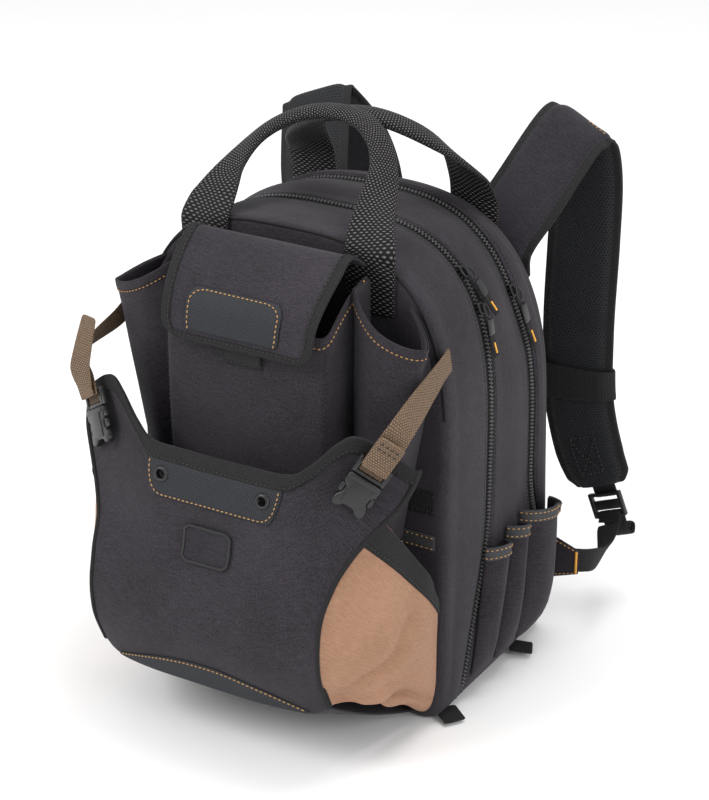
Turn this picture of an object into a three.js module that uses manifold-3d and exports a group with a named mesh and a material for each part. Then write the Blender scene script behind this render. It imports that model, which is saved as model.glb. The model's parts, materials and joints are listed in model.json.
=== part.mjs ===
// A tool backpack that stands by itself on a level surface, empty and with its pockets open.
// Millimetres, +Z up, the front of the bag faces -Y, and the origin is the middle of its flat base.
import * as THREE from "three";
import { mergeVertices } from "three/addons/utils/BufferGeometryUtils.js";
import Module from "manifold-3d";

const wasm = await Module();
wasm.setup();

// Cloth and clearances
const CLOTH = 2.2;
const SHELL_WALL = 3;
const THIN = 1.2;
const GAP = 0.4;

// The bag: an arched body whose straight sides turn into a dome
const BAG_WIDTH = 330;
const BAG_HEIGHT = 461;
const FRONT_RISE = 9;
const BACK_DROP = 5;
const FRONT_Y = -100;
const BACK_Y = 123;
const BACK_LEAN = 27;
const SHOULDER_Z = 250;
const FRONT_DOME_POWER = 3.1;
const BACK_DOME_POWER = 2.7;
const FOOT_POWER = 17;
const BASE_PRESS = 1.5;
const EDGE_RADIUS = 9;
const PUFF_START = 28;
const SIDE_PUFF = 5;
const FRONT_PUFF = 4;
const BACK_PUFF = 5;
const OUTLINE_POINTS = 45;

// The two zips run over the dome and end at the base
const ZIP_WIDTH = 11;
const ZIP_TAPE = 2;
const FRONT_ZIP_Y = -15;
const FRONT_ZIP_SWING = -42;
const PARTITION_Y = 26;
const REAR_ZIP_RUN = [
  { z: 0, y: 107 },
  { z: 50, y: 106 },
  { z: 90, y: 101 },
  { z: 130, y: 88 },
  { z: 190, y: 72 },
  { z: 263, y: 70 },
  { z: BAG_HEIGHT - 144, y: 65 },
  { z: BAG_HEIGHT - 77, y: 51 },
  { z: BAG_HEIGHT - 31, y: 54 },
  { z: BAG_HEIGHT, y: 62 },
];
const ZIP_SWING_TOP = 190;
const ZIP_FOOT_Z = 14;
const ZIP_TAPER = 16;

// Pockets on the upper front
const FLAP_POCKET_WIDTH = 172;
const FLAP_POCKET_DEPTH = 74;
const FLAP_POCKET_FRONT_TOP = 404;
const FLAP_POCKET_BACK_TOP = 441;
const FLAP_POCKET_BOTTOM = 186;
const TOOL_POCKET_OUT = 160;
const TOOL_POCKET_TAPER = 40;
const TOOL_POCKET_CORNER_Y = -130;
const TOOL_POCKET_INNER_TOP = 438;
const TOOL_POCKET_OUTER_TOP = 399;
const TOOL_POCKET_BOTTOM = 190;
const TOOL_POCKET_BULGE = 17;
const FLAP_WIDTH = 168;
const FLAP_CORNER = 26;
const FLAP_ROOT_Z = 447;
const FLAP_TOP_Z = 462;
const FLAP_FRONT_Z = 380;
const FLAP_CLEAR = 5;
const FLAP_PATCH_WIDTH = 104;
const FLAP_PATCH_X = -5;
const FLAP_PATCH_HEIGHT = 44;
const CLOSURE_WIDTH = 42;
const CLOSURE_HEIGHT = 14;

// The big front pouch
const POUCH_TOP_Z = 290;
const POUCH_FLAT_HALF = 72;
const WING_TOP_X = 126;
const WING_TOP_Z = 333;
const WING_CORNER_X = 174;
const WING_CORNER_Z = 301;
const POUCH_FOOT_HALF = 120;
const POUCH_FOOT_Z = 64;
const POUCH_CORNER_RISE = 14;
const POUCH_FRONT_Y = -256;
const WING_PULL = 48;
const FOOT_ROUND = 10;
const GUSSET_START = 0.2;
const GUSSET_TOP_Z = 132;
const GUSSET_FOOT_Z = 12;
const GUSSET_BULGE = 20;
const GUSSET_FOLD = 4;
const BINDING_WIDTH = 14;
const BAND_HEIGHT = 44;
const BAND_HALF = 70;
const TOE_HEIGHT = 26;
const LABEL_WIDTH = 50;
const LABEL_HEIGHT = 34;
const LABEL_Z = 211;
const PIPING = 4.4;
const GROMMET_X = 53;
const GROMMET_Z = 266;
const GROMMET_OUTER = 15;
const GROMMET_HOLE = 8;
const GROMMET_CLEAR = 6;
const DRILL_LENGTH = 60;

// Side-release buckles and the tan straps that they hold
const BUCKLE_X = 137;
const BUCKLE_Z = 297;
const BUCKLE_WIDTH = 32;
const BUCKLE_LENGTH = 34;
const CLIP_LENGTH = 17;
const BUCKLE_THICK = 9;
const BUCKLE_LIFT = 6.2;
const CLIP_THICK = 6;
const TAN_WIDTH = 25;
const TAN_THICK = 2;
const TAN_SEAM_Z = 370;

// Webbing handles
const HANDLE_WIDTH = 50;
const HANDLE_THICK = 3.2;
const GRIP_WIDTH = 27;
const GRIP_THICK = 13;
const FRONT_HANDLE_FACE = FRONT_Y - GAP - HANDLE_THICK / 2;

// Padded shoulder straps with their webbing
const STRAP_WIDTH = 76;
const STRAP_PAD = 15;
const STRAP_EDGE = 4;
const RIGHT_FOLD_Z = BAG_HEIGHT + 41;
const LEFT_FOLD_Z = BAG_HEIGHT + 22;
const LEFT_LEAN = 60;
const STRAP_STEPS = 31;
const STRAP_HANG_Y = 203;
const STRAP_LOW_Z = 126;
const KEEPER_HEIGHT = 36;
const KEEPER_Z = 234;
const KEEPER_CLEAR = 0.9;
const WEB_WIDTH = 26;
const WEB_THICK = 2.2;
const LOCK_WIDTH = 37;
const LOCK_HEIGHT = 27;
const LOCK_THICK = 5;
const LOCK_SLOT = 5;
const TAB_TOP_Z = 110;
const TAB_FOOT_Z = 58;
const TAB_REACH = 36;

// Side pockets: the depths between which each runs at its top and at its foot, the heights of
// its top's front and back ends, and how far it stands out
const SIDE_POCKET_FOOT = 26;
const SIDE_POCKETS = [
  { topFrom: -20, topTo: 8, footFrom: -44, footTo: -11, topFront: 154, topBack: 151, bulge: 13 },
  { topFrom: 15, topTo: 33, footFrom: -4, footTo: 32, topFront: 163, topBack: 159, bulge: 15 },
  { topFrom: 40, topTo: 97, footFrom: 40, footTo: 94, topFront: 169, topBack: 157, bulge: 25 },
];

const SLIDER_LENGTH = 12;
const SLIDER_WIDTH = 9;
const SLIDER_THICK = 5;
const PULL_LENGTH = 46;
const PULL_WIDTH = 9;
const PULL_THICK = 3;

const V = (x, y, z) => new THREE.Vector3(x, y, z);
const clamp = THREE.MathUtils.clamp;
const lerp = THREE.MathUtils.lerp;
const smooth = (t) => THREE.MathUtils.smoothstep(t, 0, 1);

// Reads a column of a table of rows with a key column, by straight interpolation
function read(table, key, column, at) {
  const last = table.length - 1;
  if (at <= table[0][key]) return table[0][column];
  if (at >= table[last][key]) return table[last][column];
  const i = table.findIndex((row) => row[key] >= at);
  const share = (at - table[i - 1][key]) / (table[i][key] - table[i - 1][key]);
  return lerp(table[i - 1][column], table[i][column], share);
}

// Materials

const finish = (color, roughness, metalness = 0) =>
  new THREE.MeshStandardMaterial({ color, roughness, metalness });

const cloth = finish(0x242428, 0.9);
const tanCloth = finish(0x8c6a52, 0.9);
const webbing = finish(0x1b1b1d, 0.85);
const tanWebbing = finish(0x85705a, 0.85);
const rubberCloth = finish(0x2b3036, 0.7);
const plastic = finish(0x131315, 0.45);
const metal = finish(0x3a3c40, 0.4, 1);
const zipTape = finish(0x101011, 0.6);
const mesh3d = finish(0x202226, 0.95);

const bag = new THREE.Group();

function add(name, geometry, material) {
  const piece = new THREE.Mesh(geometry, material);
  piece.name = name;
  bag.add(piece);
  return piece;
}

// Solids from rings and sheets

// A geometry from points and triangles, welded and turned so that its faces point out
function closedGeometry(points, triangles) {
  const made = new THREE.BufferGeometry().setFromPoints(points);
  made.setIndex(triangles);
  const welded = mergeVertices(made, 1e-3);
  const at = welded.getAttribute("position");
  const index = welded.index.array;
  const kept = [];
  for (let i = 0; i < index.length; i += 3) {
    const [a, b, c] = [index[i], index[i + 1], index[i + 2]];
    if (a !== b && b !== c && a !== c) kept.push(a, b, c);
  }
  const corner = (i) => V(at.getX(i), at.getY(i), at.getZ(i));
  let volume = 0;
  for (let i = 0; i < kept.length; i += 3) {
    const [p, q, r] = [corner(kept[i]), corner(kept[i + 1]), corner(kept[i + 2])];
    volume += p.dot(q.cross(r));
  }
  if (volume < 0) {
    for (let i = 0; i < kept.length; i += 3) {
      [kept[i + 1], kept[i + 2]] = [kept[i + 2], kept[i + 1]];
    }
  }
  welded.setIndex(kept);
  welded.computeVertexNormals();
  return welded;
}

// A solid lofted through rings of points. Its ends are closed by a fan or, for a ring that runs
// along a sheet and back, by a strip; a closed loft joins its last ring to its first
function loft(rings, ends = "fan") {
  const size = rings[0].length;
  const points = rings.flat();
  const triangles = [];
  const quad = (a, b, c, d) => triangles.push(a, b, c, a, c, d);
  const crossed = (a, b, c, d) => triangles.push(a, b, d, b, c, d);
  const bands = ends === "closed" ? rings.length : rings.length - 1;
  for (let i = 0; i < bands; i++) {
    const here = i * size;
    const next = ((i + 1) % rings.length) * size;
    for (let j = 0; j < size; j++) {
      const k = (j + 1) % size;
      const split = ends === "strip" && j >= size / 2 ? crossed : quad;
      split(here + j, here + k, next + k, next + j);
    }
  }
  if (ends === "fan") {
    [0, rings.length - 1].forEach((i, side) => {
      const centre = new THREE.Vector3();
      rings[i].forEach((p) => centre.addScaledVector(p, 1 / size));
      points.push(centre);
      const hub = points.length - 1;
      for (let j = 0; j < size; j++) {
        const [a, b] = [i * size + j, i * size + ((j + 1) % size)];
        triangles.push(hub, side ? a : b, side ? b : a);
      }
    });
  }
  if (ends === "strip") {
    [0, rings.length - 1].forEach((i, side) => {
      for (let j = 0; j < size / 2 - 1; j++) {
        const [a, b] = [i * size + j, i * size + j + 1];
        const [c, d] = [i * size + size - 2 - j, i * size + size - 1 - j];
        if (side) quad(a, b, c, d);
        else quad(d, c, b, a);
      }
    });
  }
  return closedGeometry(points, triangles);
}

// Unit normals of a grid of points
function gridNormals(rows) {
  const lastRow = rows.length - 1;
  const lastColumn = rows[0].length - 1;
  return rows.map((row, i) =>
    row.map((_, j) => {
      const down = rows[Math.min(i + 1, lastRow)][j].clone().sub(rows[Math.max(i - 1, 0)][j]);
      const over = row[Math.min(j + 1, lastColumn)].clone().sub(row[Math.max(j - 1, 0)]);
      return down.cross(over).normalize();
    }),
  );
}

// A sheet of cloth as a closed solid between its face, a grid of points, and a back that lies
// behind it; lift moves the whole sheet along its normals, and fit keeps each point in its room
function sheet(rows, thickness, lift = 0, fit = (p) => p, normals = gridNormals(rows)) {
  const rings = rows.map((row, i) => {
    const move = (by) => row.map((p, j) => fit(p.clone().addScaledVector(normals[i][j], by)));
    return [...move(lift + thickness), ...move(lift).reverse()];
  });
  return loft(rings, "strip");
}

// Keeps a point clear of the bag's front face
const beforeFront = (p) => V(p.x, Math.min(p.y, FRONT_Y - GAP), p.z);

// The pockets are sewn over the webbing of the front handle, so they keep clear of that too
const HANDLE_FACE_Y = FRONT_Y - 2 * GAP - HANDLE_THICK;
const beforeHandle = (p) => V(p.x, Math.min(p.y, HANDLE_FACE_Y), p.z);

// A grid of points from a function of two shares, down and over
function grid(downCount, overCount, pointAt) {
  return Array.from({ length: downCount + 1 }, (_, i) =>
    Array.from({ length: overCount + 1 }, (_, j) => pointAt(i / downCount, j / overCount)),
  );
}

// A smooth path through rows of { at: point, across: direction, width, thick }
function alongPath(rows) {
  const curve = new THREE.CatmullRomCurve3(
    rows.map((row) => row.at),
    false,
    "centripetal",
  );
  const last = rows.length - 1;
  return (share) => {
    const i = Math.min(Math.floor(share * last), last - 1);
    const t = share * last - i;
    const along = curve.getTangent(share);
    const across = rows[i].across.clone().lerp(rows[i + 1].across, t);
    across.addScaledVector(along, -across.dot(along)).normalize();
    return {
      at: curve.getPoint(share),
      along,
      across,
      out: across.clone().cross(along).normalize(),
      width: lerp(rows[i].width, rows[i + 1].width, t),
      thick: lerp(rows[i].thick, rows[i + 1].thick, t),
    };
  };
}

// A band swept along such a path. Its section is a list of { over, up } in half widths and
// half thicknesses
const FLAT_SECTION = [
  { over: -1, up: -1 },
  { over: 1, up: -1 },
  { over: 1, up: 1 },
  { over: -1, up: 1 },
];
const ROUND_SECTION = [
  { over: -1, up: -0.45 },
  { over: -0.75, up: -1 },
  { over: 0.75, up: -1 },
  { over: 1, up: -0.45 },
  { over: 1, up: 0.45 },
  { over: 0.75, up: 1 },
  { over: -0.75, up: 1 },
  { over: -1, up: 0.45 },
];

function sectionRing(frame, section, grow = 0) {
  return section.map(({ over, up }) =>
    frame.at
      .clone()
      .addScaledVector(frame.across, over * (frame.width / 2 + grow))
      .addScaledVector(frame.out, up * (frame.thick / 2 + grow)),
  );
}

function sweep(rows, steps, section = FLAT_SECTION) {
  const frameAt = alongPath(rows);
  const rings = [];
  for (let i = 0; i <= steps; i++) rings.push(sectionRing(frameAt(i / steps), section));
  return loft(rings);
}

// The left and right copies of a piece: build gets -1 for the left and 1 for the right
const SIDES = [
  { side: -1, label: "left" },
  { side: 1, label: "right" },
];

// The mirror image of a geometry in the plane x = 0, with its faces still pointing out
function mirrored(geometry) {
  const copy = geometry.clone().applyMatrix4(new THREE.Matrix4().makeScale(-1, 1, 1));
  const index = copy.index.array;
  for (let i = 0; i < index.length; i += 3) {
    [index[i + 1], index[i + 2]] = [index[i + 2], index[i + 1]];
  }
  return copy;
}

function addPair(name, geometry, material) {
  add(name + "_right", geometry, material);
  add(name + "_left", mirrored(geometry), material);
}

// Holes cut out of solids

function toSolid(geometry) {
  const bare = geometry.clone();
  bare.deleteAttribute("normal");
  bare.deleteAttribute("uv");
  const merged = mergeVertices(bare, 1e-4);
  return new wasm.Manifold(
    new wasm.Mesh({
      numProp: 3,
      vertProperties: merged.attributes.position.array,
      triVerts: new Uint32Array(merged.index.array),
    }),
  );
}

function toGeometry(solid) {
  const cut = solid.getMesh();
  const points = [];
  for (let i = 0; i < cut.numVert; i++) {
    const [x, y, z] = cut.vertProperties.subarray(i * cut.numProp, i * cut.numProp + 3);
    points.push(V(x, y, z));
  }
  return closedGeometry(points, Array.from(cut.triVerts));
}

// The bag's outline

// The back wall leans forward as it rises
const backY = (z) => BACK_Y - (BACK_LEAN * z) / BAG_HEIGHT;
const topAt = (y) => BAG_HEIGHT + (y < 0 ? (FRONT_RISE * y) / FRONT_Y : (-BACK_DROP * y) / BACK_Y);

// The dome is rounder towards the back
const domePower = (y) => lerp(FRONT_DOME_POWER, BACK_DOME_POWER, clamp(y / backY(BAG_HEIGHT), 0, 1));

// A point of the arched outline at a polar angle about the shoulder line, at a depth y
function outline(angle, y, inset = 0) {
  const [c, s] = [Math.cos(angle), Math.sin(angle)];
  const half = BAG_WIDTH / 2 - inset;
  const reach = (s >= 0 ? topAt(y) - SHOULDER_Z : SHOULDER_Z + BASE_PRESS) - inset;
  const power = s >= 0 ? domePower(y) : FOOT_POWER;
  const sum = Math.abs(c / half) ** power + Math.abs(s / reach) ** power;
  const r = sum ** (-1 / power);
  return V(r * c, y, Math.max(SHOULDER_Z + r * s, inset));
}

// Half the width of the outline at a height
function halfWidthAt(z, y, inset = 0) {
  const up = z >= SHOULDER_Z;
  const half = BAG_WIDTH / 2 - inset;
  const reach = (up ? topAt(y) - SHOULDER_Z : SHOULDER_Z + BASE_PRESS) - inset;
  const power = up ? domePower(y) : FOOT_POWER;
  const share = clamp(Math.abs(z - SHOULDER_Z) / reach, 0, 1);
  return half * (1 - share ** power) ** (1 / power);
}

// Angles round the outline, closer together where it turns
function outlineAngles(count) {
  const fine = 1440;
  const bend = 0.55;
  const weights = [0];
  const at = (i) => outline(-Math.PI / 2 + (2 * Math.PI * i) / fine, 0);
  let perimeter = 0;
  for (let i = 0; i < fine; i++) perimeter += at(i).distanceTo(at(i + 1));
  for (let i = 0; i < fine; i++) {
    const step = at(i + 1).sub(at(i));
    const turn = step.angleTo(at(i + 2).sub(at(i + 1)));
    weights.push(weights[i] + step.length() / perimeter + (bend * turn) / Math.PI);
  }
  const total = weights[fine];
  return Array.from({ length: count }, (_, k) => {
    const goal = (total * k) / count;
    const i = weights.findIndex((w) => w >= goal);
    return -Math.PI / 2 + (2 * Math.PI * i) / fine;
  });
}

const ANGLES = outlineAngles(OUTLINE_POINTS);

// Where each zip lies at a height, and half the width of its slot there
const zipSwing = (z) => smooth((ZIP_SWING_TOP - z) / ZIP_SWING_TOP);
const frontZipY = (z) => FRONT_ZIP_Y + FRONT_ZIP_SWING * zipSwing(z);
const rearZipY = (z) => read(REAR_ZIP_RUN, "z", "y", z);
const zipHalf = (z) => (ZIP_WIDTH / 2) * smooth((z - ZIP_FOOT_Z) / ZIP_TAPER);

// A ring of the outline whose depth is worked out from the height of each of its points
function outlineRing(depthAt, inset) {
  return ANGLES.map((angle) => {
    return outline(angle, depthAt(outline(angle, 0).z), inset);
  });
}

// The depth of a shell's rim beside a zip: side is -1 in front of the zip and 1 behind it
const rimY = (zipY, side) => (z) => zipY(z) + side * (zipHalf(z) + GAP / 2);

// The sides stand out between two rims; the flat base stays flat
function puffedRing(depthAt, amount, share) {
  return outlineRing(depthAt, 0).map((p) => {
    const lift = amount * Math.sin(Math.PI * share) * smooth(p.z / PUFF_START);
    const above = Math.max(p.z - SHOULDER_Z, 0) / (BAG_HEIGHT - SHOULDER_Z);
    const away = V(p.x / (BAG_WIDTH / 2), 0, above);
    return p.addScaledVector(away.normalize(), lift);
  });
}

const between = (from, to, share) => (z) => lerp(from(z), to(z), share);

// An end shell: a bowl with a flat wall that opens at its rim. wallY gives the wall's depth at a
// height, turn is -1 for the front of the bag and 1 for its back
function endShell(wallY, turn, rim, puff) {
  const rings = [];
  const edge = (radius, wall, steps) => {
    for (let k = 0; k <= steps; k++) {
      const phi = ((Math.PI / 2) * k) / steps;
      const back = turn * (wall + radius * (1 - Math.cos(phi)));
      rings.push(outlineRing((z) => wallY(z) - back, wall + radius * (1 - Math.sin(phi))));
    }
  };
  const edgeY = (z) => wallY(z) - turn * EDGE_RADIUS;
  edge(EDGE_RADIUS, 0, 3);
  rings.push(puffedRing(between(edgeY, rim, 0.5), puff, 0.5));
  rings.push(outlineRing(rim, 0));
  rings.push(outlineRing(rim, SHELL_WALL));
  const outerCount = rings.length;
  edge(EDGE_RADIUS - SHELL_WALL, SHELL_WALL, 1);
  const inner = rings.splice(outerCount).reverse();
  return loft([...rings, ...inner]);
}

function frontShell() {
  return endShell(() => FRONT_Y, -1, rimY(frontZipY, -1), FRONT_PUFF);
}

function backShell() {
  return endShell(backY, 1, rimY(rearZipY, 1), BACK_PUFF);
}

// The band between the zips, closed across its middle by the partition of the compartments
function middleShell() {
  const front = rimY(frontZipY, 1);
  const rear = rimY(rearZipY, -1);
  const wallY = PARTITION_Y;
  const rings = [outlineRing(() => wallY - SHELL_WALL / 2, SHELL_WALL)];
  rings.push(outlineRing(front, SHELL_WALL));
  rings.push(outlineRing(front, 0));
  rings.push(puffedRing(between(front, rear, 0.3), SIDE_PUFF, 0.3));
  rings.push(puffedRing(between(front, rear, 0.7), SIDE_PUFF, 0.7));
  rings.push(outlineRing(rear, 0));
  rings.push(outlineRing(rear, SHELL_WALL));
  rings.push(outlineRing(() => wallY + SHELL_WALL / 2, SHELL_WALL));
  return loft(rings);
}

// A zip: a strip of tape with its coil, let into the slot between two shells
function zipStrip(zipY) {
  const heights = ANGLES.map((angle) => outline(angle, 0).z);
  const first = heights.findIndex((z) => z > ZIP_FOOT_Z + ZIP_TAPER / 3);
  const last = heights.findLastIndex((z) => z > ZIP_FOOT_Z + ZIP_TAPER / 3);
  const rings = [];
  for (let i = first; i <= last; i++) {
    const z = heights[i];
    const half = zipHalf(z) - GAP / 2;
    const at = (offset, inset) => outline(ANGLES[i], zipY(z) + offset, inset);
    const shelf = SHELL_WALL - ZIP_TAPE;
    rings.push([at(-half, shelf), at(0, shelf / 2), at(half, shelf), at(half, SHELL_WALL), at(-half, SHELL_WALL)]);
  }
  return loft(rings);
}

add("front_shell", frontShell(), cloth);
add("middle_shell", middleShell(), cloth);
add("back_shell", backShell(), cloth);
add("front_zip", zipStrip(frontZipY), zipTape);
add("rear_zip", zipStrip(rearZipY), zipTape);

// Pockets on the upper front

const POCKET_BACK_Y = HANDLE_FACE_Y;

// The boxed pocket: a U in plan that closes at the bottom; over runs from left to right
const BOX_PLAN = [
  { over: 0, x: -1, depth: 0 },
  { over: 0.13, x: -1, depth: 0.5 },
  { over: 0.26, x: -0.99, depth: 0.9 },
  { over: 0.33, x: -0.93, depth: 1 },
  { over: 0.5, x: 0, depth: 1.04 },
  { over: 0.67, x: 0.93, depth: 1 },
  { over: 0.74, x: 0.99, depth: 0.9 },
  { over: 0.87, x: 1, depth: 0.5 },
  { over: 1, x: 1, depth: 0 },
];
const BOX_PROFILE = [
  { down: 0, depth: 1, height: 1 },
  { down: 0.25, depth: 1.03, height: 0.75 },
  { down: 0.5, depth: 1.02, height: 0.45 },
  { down: 0.75, depth: 0.95, height: 0.15 },
  { down: 0.9, depth: 0.7, height: 0.03 },
  { down: 1, depth: 0.08, height: 0 },
];

function flapPocket() {
  const half = FLAP_POCKET_WIDTH / 2 - CLOTH;
  const room = FLAP_POCKET_DEPTH - CLOTH - (FRONT_Y - POCKET_BACK_Y);
  const rows = grid(BOX_PROFILE.length - 1, 12, (down, over) => {
    const plan = read(BOX_PLAN, "over", "depth", over);
    const top = lerp(FLAP_POCKET_BACK_TOP, FLAP_POCKET_FRONT_TOP, clamp(plan, 0, 1) ** 2);
    const { depth, height } = BOX_PROFILE[Math.round(down * (BOX_PROFILE.length - 1))];
    const z = lerp(FLAP_POCKET_BOTTOM, top, height);
    return V(half * read(BOX_PLAN, "over", "x", over), POCKET_BACK_Y - room * depth * plan, z);
  });
  return sheet(rows, CLOTH, 0, beforeHandle);
}

// A tool pocket stands out past the dome: its outer wall runs back in to the edge of the bag
const TOOL_PLAN = [
  { over: 0, x: 0, depth: 0, outer: 0 },
  { over: 0.14, x: 0, depth: 0.8, outer: 0 },
  { over: 0.28, x: 0.1, depth: 1.1, outer: 0 },
  { over: 0.46, x: 0.5, depth: 1.5, outer: 0 },
  { over: 0.64, x: 0.85, depth: 1.3, outer: 0 },
  { over: 0.76, x: 1, depth: 1, outer: 0 },
  { over: 0.88, x: 1, depth: 0.5, outer: 0.5 },
  { over: 1, x: 1, depth: 0, outer: 1 },
];

function toolPocket() {
  const inner = FLAP_POCKET_WIDTH / 2 + GAP + CLOTH;
  const cornerDepth = FRONT_Y - TOOL_POCKET_CORNER_Y;
  const rows = grid(6, 10, (down, over) => {
    const fall = read(BOX_PROFILE, "down", "height", down);
    const deep = read(BOX_PROFILE, "down", "depth", down);
    const reach = clamp(read(TOOL_PLAN, "over", "x", over), 0, 1);
    const rise = TOOL_POCKET_INNER_TOP - TOOL_POCKET_OUTER_TOP;
    const rim = TOOL_POCKET_OUTER_TOP + rise * (1 - reach) ** 1.6;
    const backRise = rise * 0.5 * read(TOOL_PLAN, "over", "outer", over);
    const z = lerp(TOOL_POCKET_BOTTOM, rim + backRise, fall);
    const wide = lerp(TOOL_POCKET_OUT - TOOL_POCKET_TAPER, TOOL_POCKET_OUT, fall);
    const edgeX = Math.min(halfWidthAt(z, FRONT_Y, EDGE_RADIUS), wide);
    const outX = lerp(wide, edgeX, read(TOOL_PLAN, "over", "outer", over));
    const bulge = (cornerDepth + TOOL_POCKET_BULGE) / (1.5 * cornerDepth);
    const depth = cornerDepth * deep * read(TOOL_PLAN, "over", "depth", over) * bulge;
    return V(lerp(inner, outX, read(TOOL_PLAN, "over", "x", over)), POCKET_BACK_Y - depth, z);
  });
  return sheet(rows, CLOTH, 0, beforeHandle);
}

// The lid's run from its seam on the bag, over the pocket and down its front
const FLAP_RUN = [
  { depth: 0, z: 0, width: 1 },
  { depth: 0.14, z: 0.6, width: 1 },
  { depth: 0.33, z: 1, width: 1 },
  { depth: 0.55, z: 0.86, width: 1 },
  { depth: 0.8, z: 0.64, width: 0.97 },
  { depth: 0.96, z: 0.42, width: 0.94 },
  { depth: 1.02, z: 0.2, width: 0.93 },
  { depth: 1.04, z: 0, width: 0.92 },
];

function flapPoint(down, over) {
  const reach = FLAP_POCKET_DEPTH + FLAP_CLEAR;
  const curve = new THREE.SplineCurve(
    FLAP_RUN.map(({ depth, z }, i) => {
      const foot = i < 2 ? FLAP_ROOT_Z : FLAP_FRONT_Z;
      return new THREE.Vector2(POCKET_BACK_Y - reach * depth, lerp(foot, FLAP_TOP_Z, z));
    }),
  );
  const run = curve.getPoint(down);
  const length = FLAP_TOP_Z - FLAP_FRONT_Z + reach;
  const below = clamp((down - 1) * length + FLAP_CORNER, 0, FLAP_CORNER);
  const narrow = FLAP_CORNER - Math.sqrt(FLAP_CORNER ** 2 - below ** 2);
  const at = down * (FLAP_RUN.length - 1);
  const row = Math.min(Math.floor(at), FLAP_RUN.length - 2);
  const width = lerp(FLAP_RUN[row].width, FLAP_RUN[row + 1].width, at - row);
  return V(((FLAP_WIDTH / 2) * width - narrow) * (2 * over - 1), run.x, run.y);
}

// Rows of the lid, closer together at its rounded lower corners
const FLAP_ROWS = [0, 0.14, 0.28, 0.42, 0.56, 0.7, 0.84, 0.92, 0.97, 0.995];

function pocketFlap() {
  const rows = FLAP_ROWS.map((down) =>
    Array.from({ length: 9 }, (_, j) => flapPoint(down, j / 8)),
  );
  return sheet(rows, CLOTH, 0, beforeHandle);
}

// The stitched patch lies on the lid's lower half
function flapPatch() {
  const length = FLAP_TOP_Z - FLAP_FRONT_Z + FLAP_POCKET_DEPTH;
  const rows = grid(4, 6, (down, over) => {
    const share = lerp(0.9 - FLAP_PATCH_HEIGHT / length, 0.9, down);
    const round = down === 0 ? 0.86 : 1;
    const half = (FLAP_PATCH_WIDTH / FLAP_WIDTH / 2) * round;
    return flapPoint(share, 0.5 + FLAP_PATCH_X / FLAP_WIDTH + half * (2 * over - 1));
  });
  return sheet(rows, THIN, CLOTH + GAP);
}

// A flat strip on the boxed pocket's front, just under the lid's hem
function closureStrip() {
  const box = new THREE.BoxGeometry(CLOSURE_WIDTH, THIN, CLOSURE_HEIGHT);
  const top = FLAP_FRONT_Z - CLOTH;
  const depth = FLAP_POCKET_DEPTH * 1.04 * 1.03;
  return box.translate(0, FRONT_Y - depth, top - CLOSURE_HEIGHT / 2);
}

add("flap_pocket", flapPocket(), cloth);
addPair("tool_pocket", toolPocket(), cloth);
add("pocket_flap", pocketFlap(), cloth);
add("flap_patch", flapPatch(), rubberCloth);
add("closure_strip", mergeVertices(closureStrip().deleteAttribute("normal").deleteAttribute("uv")), webbing);

// The front pouch

// Top edge from the middle to the wing's corner, as shares of the named places
const TOP_EDGE = [
  { over: 0, x: 0, z: POUCH_TOP_Z },
  { over: 0.35, x: POUCH_FLAT_HALF, z: POUCH_TOP_Z + 1 },
  { over: 0.5, x: lerp(POUCH_FLAT_HALF, WING_TOP_X, 0.4), z: lerp(POUCH_TOP_Z, WING_TOP_Z, 0.35) },
  { over: 0.62, x: lerp(POUCH_FLAT_HALF, WING_TOP_X, 0.72), z: lerp(POUCH_TOP_Z, WING_TOP_Z, 0.78) },
  { over: 0.75, x: WING_TOP_X, z: WING_TOP_Z },
  { over: 1, x: WING_CORNER_X, z: WING_CORNER_Z },
];
const FOOT_EDGE = [
  { over: 0, x: 0, rise: 0 },
  { over: 0.5, x: 0.55, rise: 0 },
  { over: 0.75, x: 0.85, rise: 0.15 },
  { over: 0.9, x: 0.96, rise: 0.5 },
  { over: 1, x: 1, rise: 1 },
];
// How far the side edge has run from the wing's corner in to the foot's width
const SIDE_EDGE = [
  { down: 0, inward: 0 },
  { down: 0.12, inward: 0.14 },
  { down: 0.23, inward: 0.45 },
  { down: 0.34, inward: 0.74 },
  { down: 0.45, inward: 0.92 },
  { down: 0.61, inward: 1 },
  { down: 1, inward: 1 },
];
// Depth of the panel down its middle, as a share of its foremost depth in front of the bag
const PANEL_PROFILE = [
  { z: 0, depth: 0.9 },
  { z: 0.25, depth: 1 },
  { z: 0.5, depth: 0.975 },
  { z: 0.65, depth: 0.9 },
  { z: 0.9, depth: 0.84 },
  { z: 1, depth: 0.78 },
];

// Outer face of the pouch's front panel at a place in the front view
function panelY(x, z) {
  const height = (z - POUCH_FOOT_Z) / (POUCH_TOP_Z - POUCH_FOOT_Z);
  const middle = FRONT_Y + (POUCH_FRONT_Y - FRONT_Y) * read(PANEL_PROFILE, "z", "depth", height);
  const flat = 0.8 * POUCH_FLAT_HALF;
  const wing = clamp((Math.abs(x) - flat) / (WING_CORNER_X - flat), 0, 1);
  const pull = WING_PULL * wing ** 1.4 * smooth((height - 0.3) / 0.65);
  const outer = clamp(Math.abs(x) / POUCH_FOOT_HALF, 0, 1);
  return middle + pull + FOOT_ROUND * outer ** 4 * (1 - smooth(height / 0.45));
}

// A point of the panel: down runs from the top edge to the foot, over from left to right
function panelPlace(down, over) {
  const side = Math.sign(over);
  const u = Math.abs(over);
  const topX = read(TOP_EDGE, "over", "x", u);
  const topZ = read(TOP_EDGE, "over", "z", u);
  const footX = POUCH_FOOT_HALF * read(FOOT_EDGE, "over", "x", u);
  const footZ = POUCH_FOOT_Z + POUCH_CORNER_RISE * read(FOOT_EDGE, "over", "rise", u);
  const x = lerp(topX, footX, read(SIDE_EDGE, "down", "inward", down));
  return { x: side * x, z: lerp(topZ, footZ, down) };
}

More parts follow.
